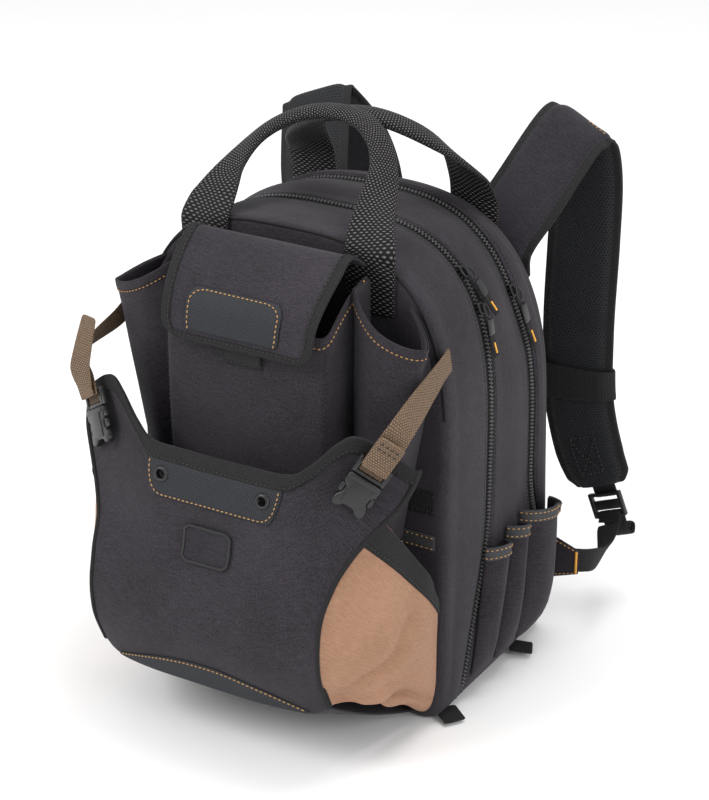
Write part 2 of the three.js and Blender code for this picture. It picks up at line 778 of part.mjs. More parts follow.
function panelPoint(down, over) {
  const { x, z } = panelPlace(down, over);
  return V(x, panelY(x, z), z);
}

const PANEL_COLUMNS = [-1, -0.9, -0.75, -0.62, -0.5, -0.35, -0.17, 0, 0.17, 0.35, 0.5, 0.62, 0.75, 0.9, 1];
const PANEL_ROWS = [0, 0.06, 0.12, 0.23, 0.34, 0.45, 0.61, 0.8, 0.92, 1];

// The panel's cloth lies behind its outer face; the eyelet holes are cut through it
function holes(geometry, diameter) {
  let solid = toSolid(geometry);
  for (const side of [-1, 1]) {
    const drill = new THREE.CylinderGeometry(diameter / 2, diameter / 2, DRILL_LENGTH, 10);
    drill.translate(side * GROMMET_X, panelY(GROMMET_X, GROMMET_Z), GROMMET_Z);
    solid = solid.subtract(toSolid(drill));
  }
  return toGeometry(solid);
}

function pouchFront() {
  const rows = PANEL_ROWS.map((down) => PANEL_COLUMNS.map((over) => panelPoint(down, over)));
  return sheet(rows, -CLOTH);
}

add("pouch_front", holes(pouchFront(), GROMMET_HOLE + GROMMET_CLEAR), cloth);

// A thin sheet laid on the panel between two places of its front view
function onPanel(downCount, overCount, placeAt, thickness, lift = GAP) {
  const rows = grid(downCount, overCount, (down, over) => {
    const { x, z } = placeAt(down, over);
    return V(x, panelY(x, z), z);
  });
  return sheet(rows, thickness, lift);
}

// The dark band under the top edge narrows downwards
function pouchBand() {
  const top = POUCH_TOP_Z - BINDING_WIDTH - 1;
  const made = onPanel(
    4,
    10,
    (down, over) => {
      const half = BAND_HALF * (1 - 0.13 * down ** 2);
      return { x: half * (2 * over - 1), z: top - (BAND_HEIGHT - BINDING_WIDTH) * down };
    },
    THIN,
  );
  return holes(made, GROMMET_HOLE + GROMMET_CLEAR);
}

// Binding tape along the top edge of the panel
function pouchBinding() {
  const rows = [0, 1].map((down) =>
    PANEL_COLUMNS.map((over) => {
      const edge = panelPlace(0, over);
      const z = edge.z - 0.5 - BINDING_WIDTH * down;
      const x = edge.x * (1 - (0.05 * down * Math.abs(edge.x)) / WING_CORNER_X);
      return V(x, panelY(x, z), z);
    }),
  );
  return sheet(rows, THIN, 2 * GAP);
}

// The stitched toe patch is a low arch on the panel's foot
function toePatch() {
  return onPanel(
    3,
    10,
    (down, over) => {
      const u = 2 * over - 1;
      const x = 0.86 * POUCH_FOOT_HALF * u;
      const foot = POUCH_FOOT_Z + 2 + 3 * u ** 6;
      return { x, z: foot + (TOE_HEIGHT * (1 - u * u) + 2) * (1 - down) };
    },
    THIN,
  );
}

function labelPatch() {
  return onPanel(
    3,
    4,
    (down, over) => ({ x: LABEL_WIDTH * (over - 0.5), z: LABEL_Z + LABEL_HEIGHT * (0.5 - down) }),
    THIN * 1.4,
  );
}

// An eyelet: a ring on the band whose sleeve goes through the cloth to a flange behind it
function grommet(side) {
  const [r, R, c] = [GROMMET_HOLE / 2, GROMMET_OUTER / 2, GROMMET_HOLE / 2 + 1];
  const face = -(THIN + 2 * GAP);
  const back = CLOTH + 2;
  const profile = [
    [r, face - 1.6],
    [R - 1.5, face - 1.6],
    [R, face - 0.4],
    [R, face],
    [c, face],
    [c, back],
    [R, back],
    [R, back + 0.8],
    [r, back + 0.8],
    [r, face - 1.6],
  ].map(([radius, y]) => new THREE.Vector2(radius, y));
  const ring = new THREE.LatheGeometry(profile, 12);
  ring.deleteAttribute("uv");
  ring.deleteAttribute("normal");
  const made = add("grommet_" + (side < 0 ? "left" : "right"), mergeVertices(ring, 1e-3), metal);
  made.position.set(side * GROMMET_X, panelY(GROMMET_X, GROMMET_Z), GROMMET_Z);
  const slope = (panelY(GROMMET_X, GROMMET_Z + 4) - panelY(GROMMET_X, GROMMET_Z - 4)) / 8;
  const turn = (panelY(GROMMET_X + 4, GROMMET_Z) - panelY(GROMMET_X - 4, GROMMET_Z)) / 8;
  made.rotation.set(-Math.atan(slope), 0, side * Math.atan(turn));
}

add("pouch_band", pouchBand(), rubberCloth);
add("pouch_binding", pouchBinding(), webbing);
add("toe_patch", toePatch(), rubberCloth);
add("label_patch", labelPatch(), cloth);
SIDES.forEach(({ side }) => grommet(side));

// The pouch's floor runs from behind the panel's foot back to the foot of the bag
function pouchBottom() {
  const backX = halfWidthAt(GUSSET_FOOT_Z, FRONT_Y, EDGE_RADIUS) - 2 * GAP;
  const rows = grid(4, 10, (down, over) => {
    const u = 2 * over - 1;
    const { x, z } = panelPlace(1, 0.97 * u);
    const front = V(x, panelY(x, z) + CLOTH + GAP, z + CLOTH);
    const back = V(backX * 0.96 * u, FRONT_Y - GAP, GUSSET_FOOT_Z - 4);
    const sag = -6 * Math.sin(Math.PI * down);
    return front.lerp(back, down).add(V(0, 0, sag));
  });
  return sheet(rows, -CLOTH, 0, beforeFront);
}

// The tan gusset spans from behind the panel's side edge to the front edge of the bag. It stands
// out in a bag of cloth whose folds fan out from its lower front corner
function gussetPoint(down, over) {
  const { x, z } = panelPlace(lerp(GUSSET_START, 0.985, down), 1);
  const front = V(x - GAP, panelY(x, z) + CLOTH + 5 * GAP, z);
  const backZ = lerp(GUSSET_TOP_Z, GUSSET_FOOT_Z, down);
  const back = V(halfWidthAt(backZ, FRONT_Y, EDGE_RADIUS), FRONT_Y - GAP, backZ);
  const span = back.clone().sub(front);
  const outward = V(-span.y, span.x, 0).normalize().negate();
  if (outward.x < 0) outward.negate();
  const belly = Math.sin(Math.PI * over) ** 0.8 * (0.25 + 0.75 * Math.sin(Math.PI * clamp(down * 0.85 + 0.1, 0, 1)));
  const fan = Math.atan2(1 - down, over + 0.05);
  const fold = GUSSET_FOLD * Math.sin(fan * 11) * Math.sin(Math.PI * over) * down;
  return front.lerp(back, over).addScaledVector(outward, GUSSET_BULGE * belly + fold);
}

// Keeps the gusset behind the panel's edge and in front of the bag
function besidePouch(p) {
  const edge = panelY(Math.min(p.x, WING_CORNER_X), p.z) + CLOTH + 4 * GAP;
  return V(p.x, clamp(p.y, edge, FRONT_Y - GAP), p.z);
}

const GUSSET_ROWS = grid(10, 8, gussetPoint);

function gusset() {
  return sheet(GUSSET_ROWS, CLOTH, 0, besidePouch);
}

// The binding lies on the gusset's face along its top edge
function gussetBinding() {
  const normals = gridNormals(GUSSET_ROWS);
  return sheet(GUSSET_ROWS.slice(0, 2), THIN, CLOTH + GAP, besidePouch, normals.slice(0, 2));
}

// Piping along the panel's side edge
function piping() {
  const rings = PANEL_ROWS.map((down) => {
    const { x, z } = panelPlace(down, 1);
    const step = 0.05;
    const ahead = panelPlace(Math.min(down + step, 1), 1);
    const before = panelPlace(Math.max(down - step, 0), 1);
    const along = V(ahead.x - before.x, 0, ahead.z - before.z).normalize();
    const aside = V(-along.z, 0, along.x);
    const centre = V(x, panelY(x, z), z).addScaledVector(aside, PIPING / 2 + GAP);
    return Array.from({ length: 6 }, (_, k) => {
      const a = (k / 6) * 2 * Math.PI;
      return centre
        .clone()
        .addScaledVector(aside, (PIPING / 2) * Math.cos(a))
        .add(V(0, (PIPING / 2) * Math.sin(a), 0));
    });
  });
  return loft(rings);
}

add("pouch_bottom", pouchBottom(), cloth);
addPair("pouch_gusset", gusset(), tanCloth);
addPair("gusset_binding", gussetBinding(), webbing);
addPair("piping", piping(), webbing);

// Buckles and tan straps

// A frame on the panel's wing: along runs up the strap, out stands off the cloth
function buckleFrame() {
  const [x, z, step] = [BUCKLE_X, BUCKLE_Z, BUCKLE_LENGTH / 2];
  const slopeX = (panelY(x + step, z) - panelY(x - step, z)) / (2 * step);
  const slopeZ = (panelY(x, z + step) - panelY(x, z - step)) / (2 * step);
  const out = V(slopeX, -1, slopeZ).normalize();
  const along = V(0.5, 0, 0.74);
  along.addScaledVector(out, -along.dot(out)).normalize();
  const across = along.clone().cross(out);
  const at = V(x, panelY(x, z), z).addScaledVector(out, BUCKLE_LIFT);
  return new THREE.Matrix4().makeBasis(across, along, out).setPosition(at);
}

const BUCKLE = buckleFrame();
const onBuckle = (across, along, out) => V(across, along, out).applyMatrix4(BUCKLE);
const buckleAcross = V(1, 0, 0).transformDirection(BUCKLE);

function plate(outlinePoints, thick, hole) {
  const shape = new THREE.Shape(outlinePoints.map(([x, y]) => new THREE.Vector2(x, y)));
  if (hole) shape.holes.push(new THREE.Path(hole.map(([x, y]) => new THREE.Vector2(x, y))));
  const made = new THREE.ExtrudeGeometry(shape, { depth: thick, bevelEnabled: false });
  made.deleteAttribute("uv");
  made.deleteAttribute("normal");
  return mergeVertices(made, 1e-3);
}

const box = (x0, x1, y0, y1) => [
  [x0, y0],
  [x1, y0],
  [x1, y1],
  [x0, y1],
];

// The housing is narrower at its windows, where the clip's prongs show
function buckleHousing() {
  const w = BUCKLE_WIDTH / 2;
  const [low, high] = [-BUCKLE_LENGTH, 0];
  const neck = w - 4;
  const windowLow = -0.66 * BUCKLE_LENGTH;
  const windowHigh = -0.3 * BUCKLE_LENGTH;
  const half = [
    [0.75 * w, low],
    [w, low + 4],
    [w, windowLow],
    [neck, windowLow + 3],
    [neck, windowHigh - 3],
    [w, windowHigh],
    [w, high],
  ];
  const left = half.map(([x, y]) => [-x, y]).reverse();
  return plate([...half, ...left], BUCKLE_THICK).applyMatrix4(BUCKLE);
}

const SLOT_LOW = CLIP_LENGTH - 9;
const SLOT_HIGH = CLIP_LENGTH - 4;

function buckleClip() {
  const w = BUCKLE_WIDTH / 2;
  const hole = box(-TAN_WIDTH / 2 - 1, TAN_WIDTH / 2 + 1, SLOT_LOW, SLOT_HIGH);
  const rim = [
    [-w, GAP],
    [w, GAP],
    [w, CLIP_LENGTH - 2],
    [w - 2, CLIP_LENGTH],
    [2 - w, CLIP_LENGTH],
    [-w, CLIP_LENGTH - 2],
  ];
  return plate(rim, CLIP_THICK, hole).applyMatrix4(BUCKLE);
}

// The tan strap runs from the seam at the side of the bag over the clip's bar to its slot
function tanStrap() {
  const seamY = FRONT_Y + EDGE_RADIUS;
  const seamX = halfWidthAt(TAN_SEAM_Z - TAN_WIDTH / 2, seamY) + FRONT_PUFF / 2;
  const slot = (SLOT_LOW + SLOT_HIGH) / 2;
  const row = (at, across) => ({ at, across, width: TAN_WIDTH, thick: TAN_THICK });
  const over = CLIP_THICK + TAN_THICK / 2 + GAP;
  return sweep(
    [
      row(V(seamX, seamY, TAN_SEAM_Z + 2), V(0, 0.3, -1)),
      row(V(seamX + 1, seamY - 16, TAN_SEAM_Z - 2), V(0, 0.3, -1)),
      row(V(seamX + 2, TOOL_POCKET_CORNER_Y - 4, TAN_SEAM_Z - 11), V(0.2, 0.5, -1)),
      row(onBuckle(0, CLIP_LENGTH + 36, over), V(0.6, 0.5, -0.7)),
      row(onBuckle(0, CLIP_LENGTH + 12, over), buckleAcross),
      row(onBuckle(0, slot, over), buckleAcross),
    ],
    12,
  );
}

// The right strap's spare end lies folded on the strap, the left one's stands up loose
function strapTailRight() {
  const row = (along, out) => ({
    at: onBuckle(0, along, out),
    across: buckleAcross,
    width: TAN_WIDTH,
    thick: 2 * TAN_THICK,
  });
  const over = CLIP_THICK + 2 * TAN_THICK + 2 * GAP + 1;
  return sweep([row(CLIP_LENGTH - 6, over), row(CLIP_LENGTH + 8, over), row(CLIP_LENGTH + 26, over + 3)], 5);
}

function strapTailLeft() {
  const row = (at, across) => ({ at, across, width: TAN_WIDTH, thick: TAN_THICK });
  const over = CLIP_THICK + 2 * TAN_THICK + 2 * GAP;
  return sweep(
    [
      row(onBuckle(0, CLIP_LENGTH - 6, over), buckleAcross),
      row(onBuckle(-1, CLIP_LENGTH + 7, over + 2), buckleAcross),
      row(V(143, -212, 328), V(0.9, 0.4, -0.25)),
      row(V(145, -206, 351), V(0.9, 0.5, 0)),
      row(V(147, -193, 383), V(0.9, 0.5, 0)),
    ],
    8,
  );
}

addPair("buckle_housing", buckleHousing(), plastic);
addPair("buckle_clip", buckleClip(), plastic);
addPair("tan_strap", tanStrap(), tanWebbing);
add("strap_tail_right", strapTailRight(), tanWebbing);
add("strap_tail_left", mirrored(strapTailLeft()), tanWebbing);

// Handles

// The paths of the two handles, from the left foot to the right. grip is 1 where the webbing is
// rolled round its core, turn is the bearing of its breadth in degrees
const FRONT_HANDLE_RUN = [
  { x: -86, y: FRONT_HANDLE_FACE, z: BAG_HEIGHT - 57, grip: 0, turn: 0 },
  { x: -86, y: FRONT_HANDLE_FACE, z: BAG_HEIGHT - 35, grip: 0, turn: 0 },
  { x: -86, y: FRONT_HANDLE_FACE, z: BAG_HEIGHT - 14, grip: 0, turn: 0 },
  { x: -86, y: FRONT_HANDLE_FACE, z: BAG_HEIGHT - 1, grip: 0, turn: 0 },
  { x: -84, y: -90, z: BAG_HEIGHT + 17, grip: 0.05, turn: -8 },
  { x: -82, y: -66, z: BAG_HEIGHT + 36, grip: 0.4, turn: -35 },
  { x: -62, y: -38, z: BAG_HEIGHT + 66, grip: 0.9, turn: -70 },
  { x: -33, y: -23, z: BAG_HEIGHT + 83, grip: 1, turn: -85 },
  { x: -3, y: -13, z: BAG_HEIGHT + 88, grip: 1, turn: -90 },
  { x: 26, y: -13, z: BAG_HEIGHT + 84, grip: 1, turn: -92 },
  { x: 49, y: -23, z: BAG_HEIGHT + 71, grip: 1, turn: -98 },
  { x: 64, y: -40, z: BAG_HEIGHT + 52, grip: 0.95, turn: -112 },
  { x: 72, y: -66, z: BAG_HEIGHT + 31, grip: 0.7, turn: -145 },
  { x: 80, y: -90, z: BAG_HEIGHT + 14, grip: 0.3, turn: -172 },
  { x: 86, y: FRONT_HANDLE_FACE, z: BAG_HEIGHT - 1, grip: 0, turn: -180 },
  { x: 86, y: FRONT_HANDLE_FACE, z: BAG_HEIGHT - 14, grip: 0, turn: -180 },
  { x: 86, y: FRONT_HANDLE_FACE, z: BAG_HEIGHT - 35, grip: 0, turn: -180 },
  { x: 86, y: FRONT_HANDLE_FACE, z: BAG_HEIGHT - 57, grip: 0, turn: -180 },
];
const rearFace = (z) => backY(z) - GAP + HANDLE_THICK / 2;
const REAR_HANDLE_RUN = [
  { x: -92, y: rearFace(BAG_HEIGHT - 55), z: BAG_HEIGHT - 55, grip: 0, turn: -180 },
  { x: -92, y: rearFace(BAG_HEIGHT - 37), z: BAG_HEIGHT - 37, grip: 0, turn: -180 },
  { x: -92, y: rearFace(BAG_HEIGHT - 16) + GAP, z: BAG_HEIGHT - 16, grip: 0, turn: -180 },
  { x: -92, y: 94, z: BAG_HEIGHT + 5, grip: 0.1, turn: -170 },
  { x: -86, y: 75, z: BAG_HEIGHT + 28, grip: 0.4, turn: -140 },
  { x: -62, y: 50, z: BAG_HEIGHT + 53, grip: 0.9, turn: -110 },
  { x: -22, y: 27, z: BAG_HEIGHT + 72, grip: 1, turn: -90 },
  { x: 18, y: 21, z: BAG_HEIGHT + 78, grip: 1, turn: -88 },
  { x: 52, y: 36, z: BAG_HEIGHT + 65, grip: 0.9, turn: -70 },
  { x: 76, y: 62, z: BAG_HEIGHT + 40, grip: 0.4, turn: -40 },
  { x: 82, y: 86, z: BAG_HEIGHT + 13, grip: 0.1, turn: -12 },
  { x: 83, y: rearFace(BAG_HEIGHT - 14) + GAP, z: BAG_HEIGHT - 14, grip: 0, turn: 0 },
  { x: 83, y: rearFace(BAG_HEIGHT - 39), z: BAG_HEIGHT - 39, grip: 0, turn: 0 },
  { x: 83, y: rearFace(BAG_HEIGHT - 59), z: BAG_HEIGHT - 59, grip: 0, turn: 0 },
];

function handle(run) {
  const rows = run.map(({ x, y, z, grip, turn }) => ({
    at: V(x, y, z),
    across: V(1, 0, 0).applyAxisAngle(V(0, 0, 1), THREE.MathUtils.degToRad(turn)),
    width: lerp(HANDLE_WIDTH, GRIP_WIDTH, grip),
    thick: lerp(HANDLE_THICK, GRIP_THICK, grip),
  }));
  return sweep(rows, 2 * (rows.length - 1), ROUND_SECTION);
}

add("front_handle", handle(FRONT_HANDLE_RUN), webbing);
add("rear_handle", handle(REAR_HANDLE_RUN), webbing);

// Shoulder straps

const PAD_FLANGE = STRAP_EDGE / STRAP_PAD;
const PAD_SECTION = [
  { over: -1, up: -PAD_FLANGE },
  { over: -0.74, up: -1 },
  { over: 0.74, up: -1 },
  { over: 1, up: -PAD_FLANGE },
  { over: 1, up: PAD_FLANGE },
  { over: 0.74, up: 1 },
  { over: -0.74, up: 1 },
  { over: -1, up: PAD_FLANGE },
];

// A strap: up and back from the bag, over its fold and down to its rounded end. The right one
// stands up higher than the left, which leans in towards the middle of the back
const STRAP_FOOT_Z = BAG_HEIGHT - 89;
const STRAP_FOOT_Y = backY(STRAP_FOOT_Z) + 7 * GAP + HANDLE_THICK + STRAP_PAD / 2;
const STRAP_BEND = 12;

function strapRows(foldZ, lean) {
  const [bendY, bendZ] = [STRAP_HANG_Y - STRAP_BEND, foldZ - STRAP_BEND];
  const bend = (degrees, x) => {
    const turn = THREE.MathUtils.degToRad(degrees);
    return { x, y: bendY + STRAP_BEND * Math.sin(turn), z: bendZ + STRAP_BEND * Math.cos(turn), tilt: 0.39, swing: 0.24, wide: 1 };
  };
  const rows = [
    { x: 100, y: STRAP_FOOT_Y, z: STRAP_FOOT_Z, tilt: 0.3, swing: 0, wide: 0.94 },
    { x: 101, y: STRAP_FOOT_Y, z: 403, tilt: 0.34, swing: 0, wide: 0.96 },
    { x: 118, y: lerp(STRAP_FOOT_Y, STRAP_HANG_Y, 0.3), z: lerp(403, foldZ, 0.42), tilt: 0.39, swing: 0.15, wide: 1 },
    bend(-45, 140),
    bend(0, 144),
    bend(45, 146),
    bend(90, 147 - 0.06 * lean),
    { x: 150 - 0.75 * lean, y: STRAP_HANG_Y + 2, z: foldZ - 50, tilt: 0.25, swing: 0.12, wide: 1 },
    { x: 149 - lean, y: STRAP_HANG_Y + 1, z: 380, tilt: 0.05, swing: 0, wide: 1 },
    { x: 148 - 0.6 * lean, y: STRAP_HANG_Y, z: 290, tilt: 0, swing: 0, wide: 1 },
    { x: 152 - 0.15 * lean, y: STRAP_HANG_Y, z: 215, tilt: 0.05, swing: 0, wide: 1 },
    { x: 166, y: STRAP_HANG_Y, z: 160, tilt: -0.2, swing: 0, wide: 1 },
    { x: 177, y: STRAP_HANG_Y, z: STRAP_LOW_Z + 10, tilt: -0.3, swing: 0, wide: 0.93 },
    { x: 181, y: STRAP_HANG_Y, z: STRAP_LOW_Z, tilt: -0.3, swing: 0, wide: 0.7 },
  ];
  return rows.map(({ x, y, z, tilt, swing, wide }) => ({
    at: V(x, y, z),
    across: V(1, -swing, -tilt),
    width: STRAP_WIDTH * wide,
    thick: STRAP_PAD,
  }));
}

const RIGHT_ROWS = strapRows(RIGHT_FOLD_Z, 0);
const LEFT_ROWS = strapRows(LEFT_FOLD_Z, LEFT_LEAN);

// The share of the hanging part's run at which it reaches a height
function strapShare(strapAt, z) {
  let [low, high] = [0.5, 1];
  for (let i = 0; i < 30; i++) {
    const middle = (low + high) / 2;
    if (strapAt(middle).at.z > z) low = middle;
    else high = middle;
  }
  return (low + high) / 2;
}

// The keeper is a loop of webbing round the strap
function keeper(rows) {
  const strapAt = alongPath(rows);
  const ring = (z, grow) => sectionRing(strapAt(strapShare(strapAt, z)), PAD_SECTION, grow);
  const [low, high] = [KEEPER_Z - KEEPER_HEIGHT / 2, KEEPER_Z + KEEPER_HEIGHT / 2];
  const inner = KEEPER_CLEAR;
  const outer = inner + WEB_THICK;
  return loft([ring(low, inner), ring(low, outer), ring(high, outer), ring(high, inner)], "closed");
}

add("shoulder_strap_right", sweep(RIGHT_ROWS, STRAP_STEPS, PAD_SECTION), mesh3d);
add("shoulder_strap_left", mirrored(sweep(LEFT_ROWS, STRAP_STEPS, PAD_SECTION)), mesh3d);
add("strap_keeper_right", keeper(RIGHT_ROWS), webbing);
add("strap_keeper_left", mirrored(keeper(LEFT_ROWS)), webbing);

// The ladder lock hangs on the end web; its frame's along axis points up the strap
function lockFrame() {
  const end = alongPath(RIGHT_ROWS)(1);
  const along = end.along.clone().negate();
  const out = V(0, 1, 0).addScaledVector(along, -along.y).normalize();
  const across = along.clone().cross(out);
  const at = end.at.clone().addScaledVector(along, -(LOCK_HEIGHT / 2 + 9));
  return new THREE.Matrix4().makeBasis(across, along, out).setPosition(at);
}

const LOCK = lockFrame();
const onLock = (across, along, out) => V(across, along, out).applyMatrix4(LOCK);
const lockAcross = V(1, 0, 0).transformDirection(LOCK);
const LOCK_BAR = 3.6;
const SLOT_UP = LOCK_HEIGHT / 2 - LOCK_BAR - LOCK_SLOT / 2;
const SLOT_DOWN = -SLOT_UP;

function ladderLock() {
  const [w, h] = [LOCK_WIDTH / 2, LOCK_HEIGHT / 2];
  const slotHalf = WEB_WIDTH / 2 + 1;
  const shape = new THREE.Shape(box(-w, w, -h, h).map(([x, y]) => new THREE.Vector2(x, y)));
  for (const y of [SLOT_UP, SLOT_DOWN]) {
    const slot = box(-slotHalf, slotHalf, y - LOCK_SLOT / 2, y + LOCK_SLOT / 2);
    shape.holes.push(new THREE.Path(slot.map(([x, v]) => new THREE.Vector2(x, v))));
  }
  const made = new THREE.ExtrudeGeometry(shape, { depth: LOCK_THICK, bevelEnabled: false });
  made.translate(0, 0, -LOCK_THICK / 2);
  made.deleteAttribute("uv");
  made.deleteAttribute("normal");
  return mergeVertices(made, 1e-3).applyMatrix4(LOCK);
}

const webRow = (at, across) => ({ at, across, width: WEB_WIDTH, thick: WEB_THICK });
const WEB_CLEAR = LOCK_THICK / 2 + WEB_THICK / 2 + GAP;

// From the end of the padded strap over the lock's upper bar to its slot
function endWeb() {
  const start = LOCK_HEIGHT / 2 + 9 - 2 * GAP;
  return sweep(
    [
      webRow(onLock(0, start, WEB_CLEAR - 0.5), lockAcross),
      webRow(onLock(0, LOCK_HEIGHT / 2, WEB_CLEAR), lockAcross),
      webRow(onLock(0, SLOT_UP, WEB_CLEAR), lockAcross),
    ],
    4,
  );
}

// The triangular tab stands out from the seam at the lower corner of the back
const TAB_MIDDLE = (TAB_TOP_Z + TAB_FOOT_Z) / 2;
const TAB_Y = backY(TAB_MIDDLE) - 0.6 * EDGE_RADIUS;
const tabRoot = (z) => halfWidthAt(z, TAB_Y) + 3 * GAP;
const TAB_TIP_X = BAG_WIDTH / 2 + TAB_REACH;

function cornerTab() {
  const tip = WEB_WIDTH / 2;
  const rim = [
    [tabRoot(TAB_FOOT_Z), TAB_FOOT_Z],
    [TAB_TIP_X, TAB_MIDDLE - tip],
    [TAB_TIP_X, TAB_MIDDLE + tip],
    [tabRoot(TAB_TOP_Z), TAB_TOP_Z],
  ];
  return plate(rim, WEB_THICK).rotateX(Math.PI / 2).translate(0, TAB_Y + WEB_THICK / 2, 0);
}

// From the tab back to the lock, through its lower slot and down into a rolled end
function lowerStrap() {
  const bar = SLOT_DOWN - LOCK_SLOT / 2;
  const faceY = TAB_Y + WEB_THICK + 2 * GAP;
  const roll = { along: -LOCK_HEIGHT / 2 - 17, out: WEB_CLEAR + 7, radius: 7 };
  const curl = (turn, radius) =>
    webRow(onLock(0, roll.along + radius * Math.cos(turn), roll.out - radius * Math.sin(turn)), lockAcross);
  return sweep(
    [
      webRow(V(TAB_TIP_X - 16, faceY, TAB_MIDDLE), V(0, 0, 1)),
      webRow(V(TAB_TIP_X - 6, faceY, TAB_MIDDLE), V(0, 0, 1)),
      webRow(V(TAB_TIP_X + 6, faceY + 9, TAB_MIDDLE - 1), V(0.1, 0, 1)),
      webRow(V(TAB_TIP_X + 4, faceY + 46, TAB_MIDDLE - 12), V(0.4, 0, 0.9)),
      webRow(onLock(0, -LOCK_HEIGHT / 2 - 8, -14), V(0.9, 0, 0.4)),
      webRow(onLock(0, bar - 3.5, -WEB_CLEAR), lockAcross),
      webRow(onLock(0, SLOT_DOWN - 1.6, -WEB_CLEAR + 0.6), lockAcross),
      webRow(onLock(0, SLOT_DOWN + 0.2, 0), lockAcross),
      webRow(onLock(0, SLOT_DOWN - 1.6, WEB_CLEAR - 0.6), lockAcross),
      webRow(onLock(0, bar - 4, WEB_CLEAR + 0.2), lockAcross),
      curl(Math.PI * 0.5, roll.radius),
      curl(Math.PI, roll.radius),
      curl(Math.PI * 1.5, roll.radius * 0.95),
      curl(Math.PI * 2, roll.radius * 0.75),
      curl(Math.PI * 2.5, roll.radius * 0.5),
    ],
    36,
  );
}

addPair("ladder_lock", ladderLock(), plastic);
addPair("end_web", endWeb(), webbing);
addPair("corner_tab", cornerTab(), webbing);
addPair("lower_strap", lowerStrap(), webbing);

// Side pockets

// How far the bag's side stands out at a height and a depth, between the rims of its shells
const PUFF_SHAPE = [
  { share: 0, lift: 0 },
  { share: 0.3, lift: Math.sin(0.3 * Math.PI) },
  { share: 0.7, lift: Math.sin(0.7 * Math.PI) },
  { share: 1, lift: 0 },
];

function sideX(z, y) {
  const [front, rear, back] = [rimY(frontZipY, 1)(z), rearZipY(z), backY(z) - EDGE_RADIUS];
  const middle = SIDE_PUFF * read(PUFF_SHAPE, "share", "lift", (y - front) / (rear - front));
  const share = clamp((y - rear) / (back - rear), 0, 1);
  const behind = BACK_PUFF * Math.min(4 * share, 4 * (1 - share), 1);
  return halfWidthAt(z, y) + (middle + behind) * smooth(z / PUFF_START);
}

const POCKET_BELLY = [
  { down: 0, belly: 1 },
  { down: 0.24, belly: 1 },
  { down: 0.52, belly: 0.94 },
  { down: 0.76, belly: 0.75 },
  { down: 0.9, belly: 0.48 },
  { down: 1, belly: 0.12 },
];

function sidePocket({ topFrom, topTo, footFrom, footTo, topFront, topBack, bulge }) {
  const rows = POCKET_BELLY.map(({ down, belly }) =>
    Array.from({ length: 7 }, (_, j) => {
      const over = j / 6;
      const round = Math.sin(Math.PI * over);
      const z = lerp(lerp(topFront, topBack, over) + 3 * round, SIDE_POCKET_FOOT, down);
      const y = lerp(lerp(topFrom, topTo, over), lerp(footFrom, footTo, over), down);
      return V(sideX(z, y) + 2 * GAP + bulge * belly * round ** 0.6, y, z);
    }),
  );
  const fit = (p) => V(Math.max(p.x, sideX(p.z, p.y) + 2 * GAP), p.y, p.z);
  return sheet(rows, CLOTH, 0, fit);
}

SIDE_POCKETS.forEach((pocket, i) => addPair("side_pocket_" + (i + 1), sidePocket(pocket), cloth));

// Zip sliders and their pulls, on the right-hand run of each zip

// A point off the zip's face at a height: out is the distance off it, aside moves it along y
function offZip(zipY, z, out, aside = 0) {
  const y = zipY(z) + aside;
  const step = 4;
  const slope = (halfWidthAt(z + step, y) - halfWidthAt(z - step, y)) / (2 * step);
  const normal = V(1, 0, -slope).normalize();
  return { at: V(halfWidthAt(z, y), y, z).addScaledVector(normal, out), normal };
}

function zipSlider(zipY, z) {
  const { at, normal } = offZip(zipY, z, GAP);
  const along = V(-normal.z, 0, normal.x);
  const frame = new THREE.Matrix4().makeBasis(along.clone().cross(normal), along, normal).setPosition(at);
  const [w, h] = [SLIDER_WIDTH / 2, SLIDER_LENGTH / 2];
  const rim = [
    [-w, h],
    [-w * 0.6, -h],
    [w * 0.6, -h],
    [w, h],
    [0, h * 0.7],
  ];
  return plate(rim, SLIDER_THICK).applyMatrix4(frame);
}

function zipPull(zipY, z, length, aside) {
  const start = z + 2;
  const rows = [0, 0.3, 0.65, 1].map((share) => {
    const height = start - length * share;
    const off = lerp(SLIDER_THICK + 2 * GAP + PULL_THICK / 2, PULL_THICK, share > 0.5 ? 1 : share);
    const { at } = offZip(zipY, height, off + SIDE_PUFF * share, aside * share);
    return { at, across: V(0, 1, 0), width: PULL_WIDTH, thick: PULL_THICK };
  });
  return sweep(rows, 6);
}

const SLIDERS = [
  { name: "front_upper", zipY: frontZipY, z: BAG_HEIGHT - 40, length: 44, aside: 16 },
  { name: "front_lower", zipY: frontZipY, z: BAG_HEIGHT - 71, length: PULL_LENGTH, aside: 0 },
  { name: "rear", zipY: rearZipY, z: BAG_HEIGHT - 77, length: 58, aside: 0 },
];

SLIDERS.forEach(({ name, zipY, z, length, aside }) => {
  add("zip_slider_" + name, zipSlider(zipY, z), metal);
  add("zip_pull_" + name, zipPull(zipY, z, length, aside), plastic);
});

export default bag;
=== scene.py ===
"""The looks of the tool backpack: sewn cloth, webbing, zips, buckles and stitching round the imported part."""
import json
import math

import bpy
from mathutils import Matrix, Vector, noise

